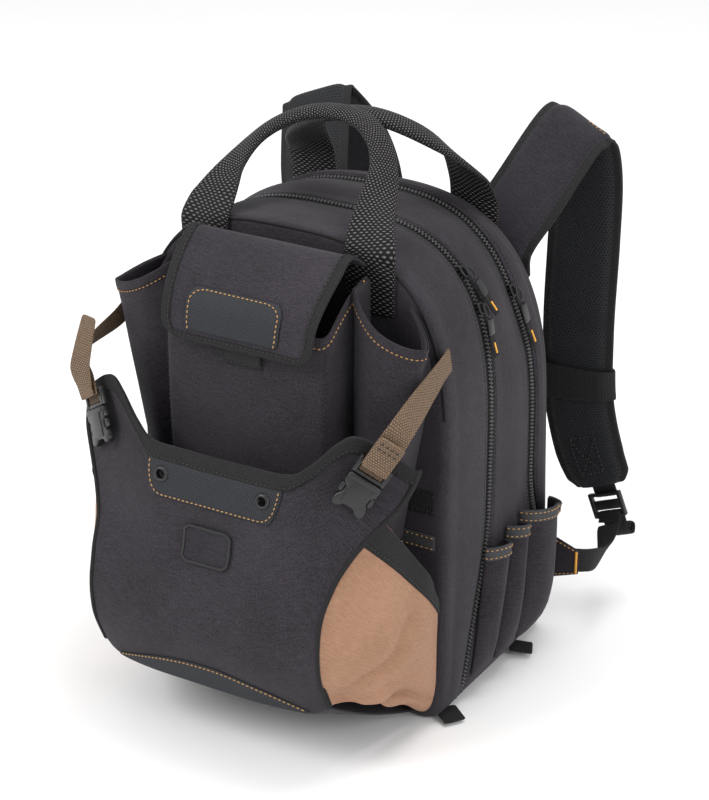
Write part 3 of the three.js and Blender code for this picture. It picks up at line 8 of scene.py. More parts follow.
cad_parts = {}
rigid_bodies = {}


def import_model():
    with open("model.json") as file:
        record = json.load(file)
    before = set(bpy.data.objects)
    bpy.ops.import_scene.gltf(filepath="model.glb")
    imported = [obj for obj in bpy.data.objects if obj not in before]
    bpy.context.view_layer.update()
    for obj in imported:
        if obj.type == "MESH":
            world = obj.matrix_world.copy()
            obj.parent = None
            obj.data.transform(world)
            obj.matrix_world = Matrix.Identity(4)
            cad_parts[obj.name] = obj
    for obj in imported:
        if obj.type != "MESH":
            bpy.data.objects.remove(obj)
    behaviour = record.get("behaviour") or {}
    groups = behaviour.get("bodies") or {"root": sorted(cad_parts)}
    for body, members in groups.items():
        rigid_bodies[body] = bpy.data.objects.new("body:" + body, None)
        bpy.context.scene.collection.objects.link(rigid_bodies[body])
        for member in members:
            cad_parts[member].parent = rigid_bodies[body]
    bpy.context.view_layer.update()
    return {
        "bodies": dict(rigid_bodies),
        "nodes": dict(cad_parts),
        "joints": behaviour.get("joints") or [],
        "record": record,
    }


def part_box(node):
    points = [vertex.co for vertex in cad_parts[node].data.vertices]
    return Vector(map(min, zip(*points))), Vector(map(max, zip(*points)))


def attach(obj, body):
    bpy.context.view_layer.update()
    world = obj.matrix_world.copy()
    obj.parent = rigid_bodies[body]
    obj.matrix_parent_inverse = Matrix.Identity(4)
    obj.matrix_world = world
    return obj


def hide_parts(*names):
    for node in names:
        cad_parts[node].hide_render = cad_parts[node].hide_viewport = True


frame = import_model()

# Millimetres in the sizes below; a mesh is made in metres
MM = 0.001
# The least side of a cut of cloth, in metres
SHORTEST_CUT = 0.011

# The photograph's view
PHOTO_HEIGHT = 800
VIEW_TARGET = (0, 0, 235)
VIEW_AZIMUTH = 30.5
VIEW_ELEVATION = 25.5
VIEW_DISTANCE = 2300
VIEW_FOCUS_PX = 2400
VIEW_LEFT_PX = 10
VIEW_DOWN_PX = 22
SENSOR = 36

# Cloth and clearances, as in the part
CLOTH = 2.2
SHELL_WALL = 3
THIN = 1.2
GAP = 0.4

# The bag
BAG_WIDTH = 330
BAG_HEIGHT = 461
FRONT_RISE = 9
BACK_DROP = 5
FRONT_Y = -100
BACK_Y = 123
BACK_LEAN = 27
SHOULDER_Z = 250
FRONT_DOME_POWER = 3.1
BACK_DOME_POWER = 2.7
FOOT_POWER = 17
BASE_PRESS = 1.5
EDGE_RADIUS = 9
PUFF_START = 28
SIDE_PUFF = 5
FRONT_PUFF = 4
BACK_PUFF = 5
OUTLINE_COLUMNS = 190
HUB = Vector((0, 20, 215))

# The piped seam over the front wall's top
FRONT_PIPING_DOWN = 0.545
FRONT_PIPING_HALF = 0.2
FRONT_PIPING_RADIUS = 1.7

# Zips
ZIP_WIDTH = 11
FRONT_ZIP_Y = -15
FRONT_ZIP_SWING = -42
REAR_ZIP_RUN = [
    (0, 107), (50, 106), (90, 101), (130, 88), (190, 72),
    (263, 70), (317, 65), (384, 51), (430, 54), (461, 62),
]
ZIP_SWING_TOP = 190
ZIP_FOOT_Z = 14
ZIP_TAPER = 16
ZIP_TUCK = 1
ZIP_SUNK = 1.6
# The share of a turn round the outline at which a zip starts
ZIP_START = 0.075
TOOTH_PITCH = 3.8
TOOTH = (4.8, 1.35, 2.3)

# Pockets on the upper front
FLAP_POCKET_WIDTH = 172
FLAP_POCKET_DEPTH = 74
FLAP_POCKET_FRONT_TOP = 404
FLAP_POCKET_BACK_TOP = 441
FLAP_POCKET_BOTTOM = 186
TOOL_POCKET_OUT = 160
TOOL_POCKET_TAPER = 40
TOOL_POCKET_CORNER_Y = -130
TOOL_POCKET_INNER_TOP = 438
TOOL_POCKET_OUTER_TOP = 399
TOOL_POCKET_BOTTOM = 190
TOOL_POCKET_BULGE = 17
FLAP_WIDTH = 168
FLAP_CORNER = 26
FLAP_ROOT_Z = 447
FLAP_TOP_Z = 462
FLAP_FRONT_Z = 380
FLAP_CLEAR = 5
FLAP_PATCH_WIDTH = 104
FLAP_PATCH_X = -5
FLAP_PATCH_HEIGHT = 44
FLAP_LENGTH = FLAP_TOP_Z - FLAP_FRONT_Z + FLAP_POCKET_DEPTH
CLOSURE_WIDTH = 42

# The front pouch
POUCH_TOP_Z = 290
POUCH_FLAT_HALF = 72
WING_TOP_X = 126
WING_TOP_Z = 333
WING_CORNER_X = 174
WING_CORNER_Z = 301
POUCH_FOOT_HALF = 120
POUCH_FOOT_Z = 64
POUCH_CORNER_RISE = 14
POUCH_FRONT_Y = -256
WING_PULL = 48
FOOT_ROUND = 10
GUSSET_START = 0.2
GUSSET_TOP_Z = 132
GUSSET_FOOT_Z = 12
GUSSET_BULGE = 20
GUSSET_FOLD = 4
BINDING_WIDTH = 14
BAND_HEIGHT = 44
BAND_HALF = 70
BAND_TAPER = 0.13
TOE_HEIGHT = 26
TOE_REACH = 0.86
LABEL_WIDTH = 50
LABEL_HEIGHT = 34
LABEL_Z = 211
LABEL_THICK = 1.7
PIPING = 4.4
# The two cords beside the pouch panel: radius, how far out and how far behind its edge
FORE_CORD = (PIPING / 2, 0.6, 0.4)
AFT_CORD = (1.9, 1.0, 4.0)
GROMMET_X = 53
GROMMET_Z = 266
GROMMET_OUTER = 15
GROMMET_HOLE = 8
HOLE_CLEAR = 0.8
DRILL_LENGTH = 60

# Buckles and tan straps
BUCKLE_X = 137
BUCKLE_Z = 297
BUCKLE_WIDTH = 32
BUCKLE_LENGTH = 34
CLIP_LENGTH = 17
BUCKLE_THICK = 9
BUCKLE_LIFT = 6.2
CLIP_THICK = 6
CLIP_RAIL = 4
TAN_WIDTH = 25
TAN_THICK = 2
TAN_SEAM_Z = 370
SLOT_LOW = CLIP_LENGTH - 9
SLOT_HIGH = CLIP_LENGTH - 4

# Handles
HANDLE_WIDTH = 50
HANDLE_THICK = 3.2
GRIP_WIDTH = 27
GRIP_THICK = 13
FRONT_HANDLE_FACE = FRONT_Y - GAP - HANDLE_THICK / 2
POCKET_BACK_Y = FRONT_Y - 2 * GAP - HANDLE_THICK

# Shoulder straps
STRAP_WIDTH = 76
STRAP_PAD = 15
RIGHT_FOLD_Z = 502
LEFT_FOLD_Z = 483
LEFT_LEAN = 60
STRAP_BEND = 12
STRAP_HANG_Y = 203
STRAP_FOOT_Z = 372
STRAP_LOW_Z = 126
STRAP_SEAM_Z = 300
# The share of a strap's run at its mark; the box seam's ends above the strap's foot, and its half width
STRAP_MARK = 4.4 / 13
BOX_SEAM_RISE = (14, 50)
BOX_SEAM_HALF = 0.36
KEEPER_HEIGHT = 36
KEEPER_Z = 234
KEEPER_CLEAR = 0.9
WEB_WIDTH = 26
WEB_THICK = 2.2
LOCK_WIDTH = 37
LOCK_HEIGHT = 27
LOCK_THICK = 5
LOCK_SLOT = 5
LOCK_BAR = 3.6
LOCK_DROP = 9
LOCK_RAIL = 4.6
TAB_TOP_Z = 110
TAB_FOOT_Z = 58
TAB_REACH = 36

# Side pockets: top from and to, foot from and to, height of the top's two ends, how far it stands out
SIDE_POCKET_FOOT = 26
SIDE_POCKETS = [
    {"top": (-20, 8), "foot": (-44, -11), "rim": (154, 151), "bulge": 13},
    {"top": (15, 33), "foot": (-4, 32), "rim": (163, 159), "bulge": 15},
    {"top": (40, 97), "foot": (40, 94), "rim": (169, 157), "bulge": 25},
]
ELASTIC_HEIGHT = 13

# Sewing
STITCH_LENGTH = 3.1
STITCH_GAP = 1.4
STITCH_WIDTH = 0.95


def clamp(value, low=0.0, high=1.0):
    return min(max(value, low), high)


def lerp(a, b, share):
    return a + (b - a) * share


def smooth(t):
    t = clamp(t)
    return t * t * (3 - 2 * t)


def read(table, at, column=1):
    """A smooth reading of a table of rows whose first column is the key."""
    keys = [row[0] for row in table]
    values = [row[column] for row in table]
    if at <= keys[0]:
        return values[0]
    if at >= keys[-1]:
        return values[-1]
    i = next(k for k in range(1, len(keys)) if keys[k] >= at)
    slopes = [(values[k + 1] - values[k]) / (keys[k + 1] - keys[k]) for k in range(len(keys) - 1)]

    def tangent(k):
        if k == 0 or k == len(keys) - 1:
            return slopes[min(k, len(slopes) - 1)]
        if slopes[k - 1] * slopes[k] <= 0:
            return 0.0
        return 2 * slopes[k - 1] * slopes[k] / (slopes[k - 1] + slopes[k])

    step = keys[i] - keys[i - 1]
    t = (at - keys[i - 1]) / step
    m0, m1 = tangent(i - 1) * step, tangent(i) * step
    a, b = values[i - 1], values[i]
    ends = (2 * t**3 - 3 * t**2 + 1) * a + (t**3 - 2 * t**2 + t) * m0
    return ends + (3 * t**2 - 2 * t**3) * b + (t**3 - t**2) * m1


SIDES = ((1, "right"), (-1, "left"))


def swell(place):
    """Smooth noise from 0 to 1."""
    return 0.5 + 0.5 * noise.noise(place)


def shares(count):
    return [k / count for k in range(count + 1)]


def flip(p):
    return Vector((-p.x, p.y, p.z))


# Shader maths

class Value:
    """A socket of a material being made, so that its sums read as plain arithmetic."""

    def __init__(self, finish, socket):
        self.finish = finish
        self.socket = socket

    def math(self, operation, *others):
        return self.finish.node("ShaderNodeMath", {"operation": operation}, [self, *others])

    def __add__(self, other):
        return self.math("ADD", other)

    def __sub__(self, other):
        return self.math("SUBTRACT", other)

    def __mul__(self, other):
        return self.math("MULTIPLY", other)

    def __truediv__(self, other):
        return self.math("DIVIDE", other)

    def __rsub__(self, other):
        return self.finish.node("ShaderNodeMath", {"operation": "SUBTRACT"}, [other, self])

    __radd__ = __add__
    __rmul__ = __mul__

    def clamped(self):
        return self.math("MAXIMUM", 0.0).math("MINIMUM", 1.0)


class Finish:
    """A material and the nodes that make it."""

    def __init__(self, name):
        self.material = bpy.data.materials.new(name)
        self.material.use_nodes = True
        self.tree = self.material.node_tree
        self.shader = self.tree.nodes["Principled BSDF"]

    def node(self, kind, settings=None, inputs=None, output=0):
        made = self.tree.nodes.new(kind)
        for key, value in (settings or {}).items():
            if key == "stops":
                self.set_stops(made.color_ramp, value)
            else:
                setattr(made, key, value)
        given = inputs.items() if isinstance(inputs, dict) else enumerate(inputs or [])
        for key, value in given:
            self.feed(made.inputs[key], value)
        return Value(self, made.outputs[output])

    def set_stops(self, ramp, stops):
        while len(ramp.elements) < len(stops):
            ramp.elements.new(0.5)
        for element, (at, colour) in zip(ramp.elements, stops):
            element.position = at
            element.color = (*colour, 1)

    def feed(self, socket, value):
        if isinstance(value, Value):
            self.tree.links.new(value.socket, socket)
        elif socket.type == "RGBA" and len(value) == 3:
            socket.default_value = (*value, 1)
        else:
            socket.default_value = value

    def along(self, source, axis):
        """One part, 0 to 2, of a set of coordinates, in millimetres."""
        return self.node("ShaderNodeSeparateXYZ", inputs=[source], output=axis) / MM

    def object_place(self):
        return self.node("ShaderNodeTexCoord", output=3)

    def surface_place(self):
        return self.node("ShaderNodeUVMap", {"uv_map": "UVMap"})

    def noise(self, size, detail=3.0, rough=0.6, source=None, stretch=(1, 1, 1)):
        """Noise whose features are about size millimetres."""
        place = source or self.object_place()
        scaled = self.node("ShaderNodeVectorMath", {"operation": "MULTIPLY"}, [place, stretch])
        settings = {"noise_dimensions": "3D"}
        wanted = {"Vector": scaled, "Scale": 1 / (size * MM), "Detail": detail, "Roughness": rough}
        return self.node("ShaderNodeTexNoise", settings, wanted)

    def mix(self, share, a, b):
        return self.node("ShaderNodeMix", {"data_type": "RGBA"}, {0: share, 6: a, 7: b}, 2)

    def dots(self, across, along, sharp):
        """A mask of round dots in staggered rows, across and along apart in millimetres."""
        place = self.surface_place()
        u = self.along(place, 0) / across
        v = self.along(place, 1) / along
        odd = v.math("FLOOR").math("MODULO", 2.0).math("ABSOLUTE")
        du = (u + odd * 0.5).math("FRACT") - 0.5
        dv = v.math("FRACT") - 0.5
        return (1.0 - (du * du + dv * dv) * sharp).clamped()

    def ribs(self, pitch, axis, source=None):
        """A wave from 0 to 1 with ridges a pitch apart along one axis."""
        place = source or self.surface_place()
        return (self.along(place, axis) * (2 * math.pi / pitch)).math("SINE") * 0.5 + 0.5

    def close(self, colour, rough, height=None, relief=0.3, depth=0.5, metal=0.0, **fixed):
        self.feed(self.shader.inputs["Base Color"], colour)
        self.feed(self.shader.inputs["Roughness"], rough)
        self.shader.inputs["Metallic"].default_value = metal
        for name, value in fixed.items():
            self.shader.inputs[name.replace("_", " ")].default_value = value
        if height is not None:
            wanted = {"Strength": relief, "Distance": depth * MM, "Height": height}
            self.feed(self.shader.inputs["Normal"], self.node("ShaderNodeBump", inputs=wanted))
        return self.material


def woven(name, dark, light, thread=1.3, contrast=1.0):
    """Woven cloth: crossing threads, slubs and slow changes of shade."""
    f = Finish(name)
    uv = f.surface_place()
    warp = f.ribs(thread, 0, uv)
    weft = f.ribs(thread, 1, uv)
    weave = warp * weft + (1.0 - warp) * (1.0 - weft)
    grain = f.noise(0.62, 2, 0.6)
    slub = f.noise(3.0, 2, 0.6, uv, (0.25, 2.2, 1))
    cloud = f.noise(70, 3, 0.5)
    share = weave * 0.22 + (grain - 0.5) * 3.4 * contrast + (slub - 0.5) * 0.9 + (cloud - 0.5) * 0.7 + 0.35
    colour = f.mix(share.clamped(), dark, light)
    height = weave * 0.7 + grain * 0.6 + slub * 0.4
    gloss = {"Sheen_Weight": 0.05, "Sheen_Roughness": 0.6, "Specular_IOR_Level": 0.22}
    return f.close(colour, 0.88, height, 0.45, 0.35, **gloss)


def coated_cloth():
    """Reinforcement cloth: a dark blue-grey ground with rows of small raised dots."""
    f = Finish("coated_cloth")
    dots = f.dots(2.6, 1.9, 7.0)
    grain = f.noise(6, 3)
    ground = f.mix(grain, (0.0075, 0.0085, 0.011), (0.014, 0.0155, 0.019))
    colour = f.mix(dots * 0.75, ground, (0.042, 0.047, 0.057))
    return f.close(colour, 0.62, dots + grain * 0.2, 0.5, 0.4, Specular_IOR_Level=0.3)


def ribbed_tape(name, dark, light, pitch=2.0, axis=1):
    f = Finish(name)
    rib = f.ribs(pitch, axis)
    thread = f.ribs(1.2, 1 - axis)
    grain = f.noise(2.2, 3)
    colour = f.mix((rib * 0.35 + thread * 0.2 + (grain - 0.5) * 0.9 + 0.2).clamped(), dark, light)
    return f.close(colour, 0.82, rib * 0.7 + thread * 0.3 + grain * 0.3, 0.5, 0.4, Specular_IOR_Level=0.25)


def coarse_webbing():
    """Heavy webbing: rows of thick yarns whose crowns catch the light; that light is painted into the colour
    as light-grey highlight flecks on the crowns, thinned by grain.
    """
    f = Finish("coarse_webbing")
    crown_and_highlight = f.dots(2.9, 2.5, 5.5)
    grain = f.noise(1.4, 2)
    # Painted highlight: the yarn crowns, thinned by grain, are painted light grey over the near-black webbing
    share = (crown_and_highlight * crown_and_highlight * crown_and_highlight * (grain * 1.6 - 0.1)).clamped()
    colour = f.mix(share, (0.0025, 0.0025, 0.003), (0.27, 0.255, 0.25))
    return f.close(colour, 0.66, crown_and_highlight + grain * 0.2, 0.8, 0.7, Specular_IOR_Level=0.2)


def tan_webbing():
    f = Finish("tan_webbing")
    crown_and_highlight = f.dots(2.6, 2.2, 5.0)
    grain = f.noise(1.6, 3)
    # Painted highlight on the yarn crowns, which are painted lighter tan, mixed with random grain tone
    shade = (crown_and_highlight * 0.7 + (grain - 0.5) * 0.9 + 0.1).clamped()
    colour = f.mix(shade, (0.055, 0.032, 0.017), (0.29, 0.19, 0.115))
    return f.close(colour, 0.8, crown_and_highlight + grain * 0.3, 0.6, 0.6)


def spacer_mesh():
    """Airy padded mesh: a knitted net of small holes over dark foam."""
    f = Finish("spacer_mesh")
    hole = f.dots(3.4, 2.9, 6.5)
    grain = f.noise(2, 3)
    colour = f.mix(hole, (0.016, 0.017, 0.020), (0.002, 0.002, 0.0025))
    return f.close(colour, 0.8, (1.0 - hole) + grain * 0.2, 0.9, 0.9, Specular_IOR_Level=0.3)


def thread(name, dark, light):
    f = Finish(name)
    twist = f.noise(0.9, 2)
    return f.close(f.mix(twist, dark, light), 0.6, twist, 0.3, 0.2)


def moulded(name, dark, light, rough):
    """Moulded plastic: a fine spark-eroded grain with rubbed patches."""
    f = Finish(name)
    grain = f.noise(0.8, 2)
    rub = f.noise(9, 4, 0.65)
    colour = f.mix(rub, dark, light)
    return f.close(colour, (rub * 0.25 + rough).clamped(), grain + rub * 0.5, 0.12, 0.2)


def lacquered_metal():
    f = Finish("lacquered_metal")
    rub = f.noise(4, 4, 0.7)
    colour = f.mix(rub, (0.02, 0.02, 0.021), (0.07, 0.07, 0.073))
    return f.close(colour, rub * 0.25 + 0.28, rub, 0.1, 0.1, metal=0.85)


def hook_tape():
    f = Finish("hook_tape")
    hooks = f.dots(1.7, 1.5, 7.0)
    grain = f.noise(1.5, 3)
    colour = f.mix((hooks * 0.5 + grain * 0.3).clamped(), (0.003, 0.003, 0.0035), (0.02, 0.02, 0.022))
    return f.close(colour, 0.75, hooks + grain * 0.4, 0.9, 0.8)


def floor_paint():
    f = Finish("floor_paint")
    return f.close(f.mix(f.noise(400, 2), (0.93, 0.93, 0.93), (0.95, 0.95, 0.95)), 0.75)


CHARCOAL = woven("charcoal_cloth", (0.0062, 0.0052, 0.0072), (0.047, 0.040, 0.050))
STRAP_CLOTH = woven("strap_cloth", (0.0058, 0.0052, 0.0072), (0.036, 0.032, 0.041))
TAN_CLOTH = woven("tan_cloth", (0.225, 0.118, 0.070), (0.46, 0.26, 0.168), 1.2, 0.35)
COATED = coated_cloth()
BINDING = ribbed_tape("binding_tape", (0.0045, 0.0045, 0.005), (0.026, 0.025, 0.026))
ELASTIC = ribbed_tape("grey_elastic", (0.026, 0.027, 0.030), (0.082, 0.083, 0.088), 1.6)
KEEPER_TAPE = ribbed_tape("keeper_webbing", (0.004, 0.004, 0.0045), (0.026, 0.025, 0.026), 3.0, 0)
WEBBING = coarse_webbing()
TAN_WEB = tan_webbing()
SPACER = spacer_mesh()
TAN_THREAD = thread("tan_thread", (0.26, 0.135, 0.045), (0.50, 0.29, 0.115))
GOLD_THREAD = thread("gold_thread", (0.72, 0.29, 0.02), (0.95, 0.5, 0.08))
DARK_THREAD = thread("dark_thread", (0.004, 0.004, 0.0045), (0.02, 0.02, 0.021))
COIL = moulded("zip_coil", (0.018, 0.018, 0.019), (0.075, 0.073, 0.075), 0.2)
BLACK_PLASTIC = moulded("black_plastic", (0.006, 0.006, 0.0065), (0.014, 0.014, 0.015), 0.2)
METAL = lacquered_metal()
HOOKS = hook_tape()


# Faces of cloth

class Face:
    """A side of a piece of cloth: where it is for a pair of shares, its creases, and which way is out."""

    def __init__(self, place, creases=None, lift=0.0, hub=HUB, turned=None):
        self.place = place
        self.creases = creases
        self.lift = lift
        self.turn = 1.0
        if turned is None:
            total = 0.0
            for down in (0.2, 0.5, 0.8):
                for over in (0.15, 0.5, 0.85):
                    total += self.normal(down, over).dot(place(down, over) - hub)
            self.turn = 1.0 if total >= 0 else -1.0
        else:
            self.turn = turned

    def normal(self, down, over):
        step = 2e-3
        below, above = max(down - step, 0.0), min(down + step, 1.0)
        left, right = max(over - step, 0.0), min(over + step, 1.0)
        run = self.place(above, over) - self.place(below, over)
        row = self.place(down, right) - self.place(down, left)
        out = run.cross(row)
        if out.length < 1e-9:
            return Vector((0, -1, 0))
        return out.normalized() * self.turn

    def point(self, down, over, lift=0.0):
        p = self.place(down, over)
        out = self.normal(down, over)
        crease = self.creases(p, down, over) if self.creases else 0.0
        return p + out * (self.lift + lift + crease)

    def row(self, down, overs, lift=0.0):
        """Points with their outward directions across the face at one share of its run."""
        return [(self.point(down, o, lift), self.normal(down, o)) for o in overs]

    def line(self, stops, lift=0.0, step=0.01):
        """Points with their outward directions along stops, which are pairs of shares."""
        made = []
        for (d0, o0), (d1, o1) in zip(stops, stops[1:]):
            count = max(int(math.hypot(d1 - d0, o1 - o0) / step), 1)
            for k in range(count + 1):
                d, o = lerp(d0, d1, k / count), lerp(o0, o1, k / count)
                made.append((self.point(d, o, lift), self.normal(d, o)))
        return made

    def mirrored(self):
        source = self.place
        creases = self.creases
        copy = Face.__new__(Face)
        copy.place = lambda d, o: flip(source(d, o))
        copy.creases = (lambda p, d, o: creases(flip(p), d, o)) if creases else None
        copy.lift = self.lift
        copy.turn = -self.turn
        return copy


# How each cloth piece is held, and the nodes that it is sewn to or hangs from, by the start of its name
SUPPORTS = [
    ("front_shell", "stretched", ("front_zip",)),
    ("back_shell", "stretched", ("rear_zip",)),
    ("middle_shell", "stretched", ("front_zip", "rear_zip")),
    ("front_zip", "stretched", ("front_shell", "middle_shell")),
    ("rear_zip", "stretched", ("middle_shell", "back_shell")),
    ("flap_pocket", "stretched", ("front_shell",)),
    ("pocket_flap", "hung", ("front_shell", "flap_pocket")),
    ("flap_binding", "laid", ("pocket_flap",)),
    ("flap_patch", "laid", ("pocket_flap",)),
    ("closure_strip", "laid", ("flap_pocket",)),
    ("tool_pocket_SIDE_binding", "laid", ("tool_pocket_SIDE",)),
    ("tool_pocket", "stretched", ("front_shell",)),
    ("pouch_front", "stretched", ("pouch_gusset_left", "pouch_gusset_right", "pouch_bottom")),
    ("pouch_gusset", "gathered", ("front_shell", "pouch_front")),
    ("pouch_bottom", "stretched", ("front_shell", "pouch_front")),
    ("pouch_b", "laid", ("pouch_front",)),
    ("toe_patch", "laid", ("pouch_front",)),
    ("label_patch", "laid", ("pouch_front",)),
    ("gusset_binding", "laid", ("pouch_gusset_SIDE",)),
    ("tan_strap", "stretched", ("front_shell", "buckle_clip_SIDE")),
    ("strap_tail", "folded", ("buckle_clip_SIDE",)),
    ("lower_strap", "hung", ("corner_tab_SIDE", "ladder_lock_SIDE")),
    ("strap_keeper", "stretched", ("shoulder_strap_SIDE",)),
    ("end_web", "hung", ("shoulder_strap_SIDE", "ladder_lock_SIDE")),
    ("corner_tab", "stretched", ("back_shell",)),
    ("side_pocket_1_SIDE_elastic", "gathered", ("side_pocket_1_SIDE",)),
    ("side_pocket_2_SIDE_elastic", "gathered", ("side_pocket_2_SIDE",)),
    ("side_pocket_3_SIDE_elastic", "gathered", ("side_pocket_3_SIDE",)),
    ("side_pocket", "stretched", ("middle_shell",)),
    ("front_", "laid", ("front_shell",)),
    ("base_tab_1", "laid", ("front_shell",)),
    ("base_tab_2", "laid", ("middle_shell",)),
]


def declare_cloth(piece, width, length, area=None):
    """Works out a piece's cut from sizes in millimetres: its sides, and its area where it isn't a rectangle.
    Nothing is kept.
    """
    side = "left" if "left" in piece.name else "right"
    fits = [row for row in SUPPORTS if piece.name.startswith(row[0].replace("SIDE", side))]
    _, held, supports = fits[0]
    wide, long = max(width * MM, SHORTEST_CUT), max(length * MM, SHORTEST_CUT)
    cut = None if area is None or area * MM * MM >= wide * long else area * MM * MM
    [name.replace("SIDE", side) for name in supports]


def cut_of(face, downs, overs):
    """The cut of a face before any fold is put in: its widest row, its longest column and its area."""
    plain = [[face.place(d, o) for o in overs] for d in downs]
    area = 0.0
    for upper, lower in zip(plain, plain[1:]):
        for a, b, c, d in zip(upper, upper[1:], lower[1:], lower):
            area += (c - a).cross(d - b).length / 2
    width = max(distances(row)[-1] for row in plain)
    length = max(distances(column)[-1] for column in zip(*plain))
    return width, length, area


def make_object(name, points, faces, corner_uvs):
    mesh = bpy.data.meshes.new(name)
    mesh.from_pydata([tuple(Vector(p) * MM) for p in points], [], faces)
    layer = mesh.uv_layers.new(name="UVMap")
    flat = [value * MM for corners in corner_uvs for uv in corners for value in uv]
    layer.data.foreach_set("uv", flat)
    made = bpy.data.objects.new(name, mesh)
    bpy.context.scene.collection.objects.link(made)
    return made


def activate(piece):
    bpy.ops.object.select_all(action="DESELECT")
    piece.select_set(True)
    bpy.context.view_layer.objects.active = piece


def apply_modifiers(piece):
    activate(piece)
    for modifier in list(piece.modifiers):
        bpy.ops.object.modifier_apply(modifier=modifier.name)


def turn_faces_out():
    bpy.ops.mesh.select_all(action="SELECT")
    bpy.ops.mesh.normals_make_consistent(inside=False)
    bpy.ops.object.mode_set(mode="OBJECT")


def tidy_mesh(piece):
    """Merges doubled points and turns the faces outwards."""
    activate(piece)
    bpy.ops.object.mode_set(mode="EDIT")
    bpy.ops.mesh.select_all(action="SELECT")
    bpy.ops.mesh.remove_doubles(threshold=1e-6)
    bpy.ops.mesh.dissolve_degenerate(threshold=1e-7)
    turn_faces_out()


def soften(piece):
    rounder = piece.modifiers.new("rounder", "SUBSURF")
    rounder.levels = 1
    rounder.render_levels = 1
    apply_modifiers(piece)
    activate(piece)
    bpy.ops.object.shade_smooth()


def dress(piece, finishes, nodes=()):
    """Gives a piece its finishes, its body and its material slot, and hides the nodes that it stands for."""
    for material in finishes if isinstance(finishes, (list, tuple)) else [finishes]:
        piece.data.materials.append(material)
    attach(piece, "root")
    if nodes:
        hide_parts(*([nodes] if isinstance(nodes, str) else nodes))


def distances(points):
    total = [0.0]
    for a, b in zip(points, points[1:]):
        total.append(total[-1] + (b - a).length)
    return total


def cloth_piece(name, face, downs, overs, thick, wrap=False, pole=False):
    """A closed piece of cloth whose outer side is the face. It may wrap round, or start in a pole."""
    rows, columns = len(downs), len(overs)
    outer = [[face.point(d, o) for o in overs] for d in downs]
    inner = [[face.point(d, o, -thick) for o in overs] for d in downs]
    u = distances(outer[rows // 2])
    v = distances([row[columns // 2] for row in outer])
    points = [p for row in outer for p in row] + [p for row in inner for p in row]
    back = rows * columns
    faces, uvs = [], []

    def add(corners):
        faces.append([c[0] for c in corners])
        uvs.append([(u[c[2]], v[c[1]]) for c in corners])

    def at(i, j, side=0):
        return (side * back + i * columns + j, i, j)

    for i in range(rows - 1):
        for j in range(columns - 1):
            quad = [(i, j), (i, j + 1), (i + 1, j + 1), (i + 1, j)]
            add([at(*c) for c in quad])
            add([at(*c, 1) for c in reversed(quad)])
    ends = ([] if pole else [0]) + [rows - 1]
    for i in ends:
        for j in range(columns - 1):
            edge = [at(i, j), at(i, j, 1), at(i, j + 1, 1), at(i, j + 1)]
            add(edge if i == 0 else edge[::-1])
    for j in [] if wrap else [0, columns - 1]:
        for i in range(rows - 1):
            edge = [at(i, j), at(i + 1, j), at(i + 1, j, 1), at(i, j, 1)]
            add(edge if j == 0 else edge[::-1])
    piece = make_object(name, points, faces, uvs)
    tidy_mesh(piece)
    soften(piece)
    declare_cloth(piece, *cut_of(face, downs, overs))
    return piece


def ring_piece(name, rings, parts=None, joined=False):
    """A closed tube through rings of points. parts gives the finish of each strip round the ring."""
    size = len(rings[0])
    around = distances(rings[len(rings) // 2] + rings[len(rings) // 2][:1])
    centres = [sum(ring, Vector()) / size for ring in rings]
    along = distances(centres)
    points = [p for ring in rings for p in ring]
    faces, uvs, finishes = [], [], []
    spans = len(rings) if joined else len(rings) - 1
    along.append(along[-1] + (centres[0] - centres[-1]).length)
    for i in range(spans):
        for j in range(size):
            k, n = (j + 1) % size, (i + 1) % len(rings)
            faces.append([i * size + j, i * size + k, n * size + k, n * size + j])
            uvs.append([(around[j], along[i]), (around[j + 1], along[i]),
                        (around[j + 1], along[i + 1]), (around[j], along[i + 1])])
            finishes.append(parts[j] if parts else 0)
    if not joined:
        for i in (0, len(rings) - 1):
            points.append(centres[i])
            for j in range(size):
                k = (j + 1) % size
                faces.append([i * size + j, i * size + k, len(points) - 1])
                uvs.append([(around[j], along[i]), (around[j + 1], along[i]), (around[j], along[i])])
                finishes.append(parts[j] if parts else 0)
    piece = make_object(name, points, faces, uvs)
    piece.data.polygons.foreach_set("material_index", finishes)
    tidy_mesh(piece)
    soften(piece)
    return piece


# Small rounded bars: stitches, bartacks and zip teeth

BAR_RING = 0.3


def bars(name, spots, size):
    """Many small rounded bars in one piece. A spot is a centre, a direction and an outward direction."""
    length, width, height = size
    points, faces, uvs = [], [], []
    for centre, run, out in spots:
        along = run.normalized()
        up = (out - along * out.dot(along)).normalized()
        aside = along.cross(up)
        start = len(points)
        points.append(centre - along * (length / 2))
        for end in (-BAR_RING, BAR_RING):
            for a, b in ((-1, -1), (1, -1), (1, 1), (-1, 1)):
                away = aside * (a * width / 2) + up * (b * height / 2)
                points.append(centre + along * (end * length) + away)
        points.append(centre + along * (length / 2))
        made = [[start, start + 1 + (k + 1) % 4, start + 1 + k] for k in range(4)]
        for k in range(4):
            following = (k + 1) % 4
            made.append([start + 1 + k, start + 1 + following, start + 5 + following, start + 5 + k])
        made += [[start + 9, start + 5 + k, start + 5 + (k + 1) % 4] for k in range(4)]
        faces += made
        uvs += [[(0, 0)] * len(f) for f in made]
    piece = make_object(name, points, faces, uvs)
    activate(piece)
    bpy.ops.object.mode_set(mode="EDIT")
    turn_faces_out()
    bpy.ops.object.shade_smooth()
    return piece


def along_line(line, pitch):
    """Spots a pitch apart along a line of points with their outward directions."""
    run = distances([p for p, _ in line])
    count = max(int(run[-1] / pitch), 1)
    spots, k = [], 0
    for n in range(count):
        goal = (n + 0.5) * run[-1] / count
        while k < len(run) - 2 and run[k + 1] < goal:
            k += 1
        span = max(run[k + 1] - run[k], 1e-9)
        share = (goal - run[k]) / span
        (p, a), (q, b) = line[k], line[k + 1]
        spots.append((p.lerp(q, share), q - p, a.lerp(b, share)))
    return spots


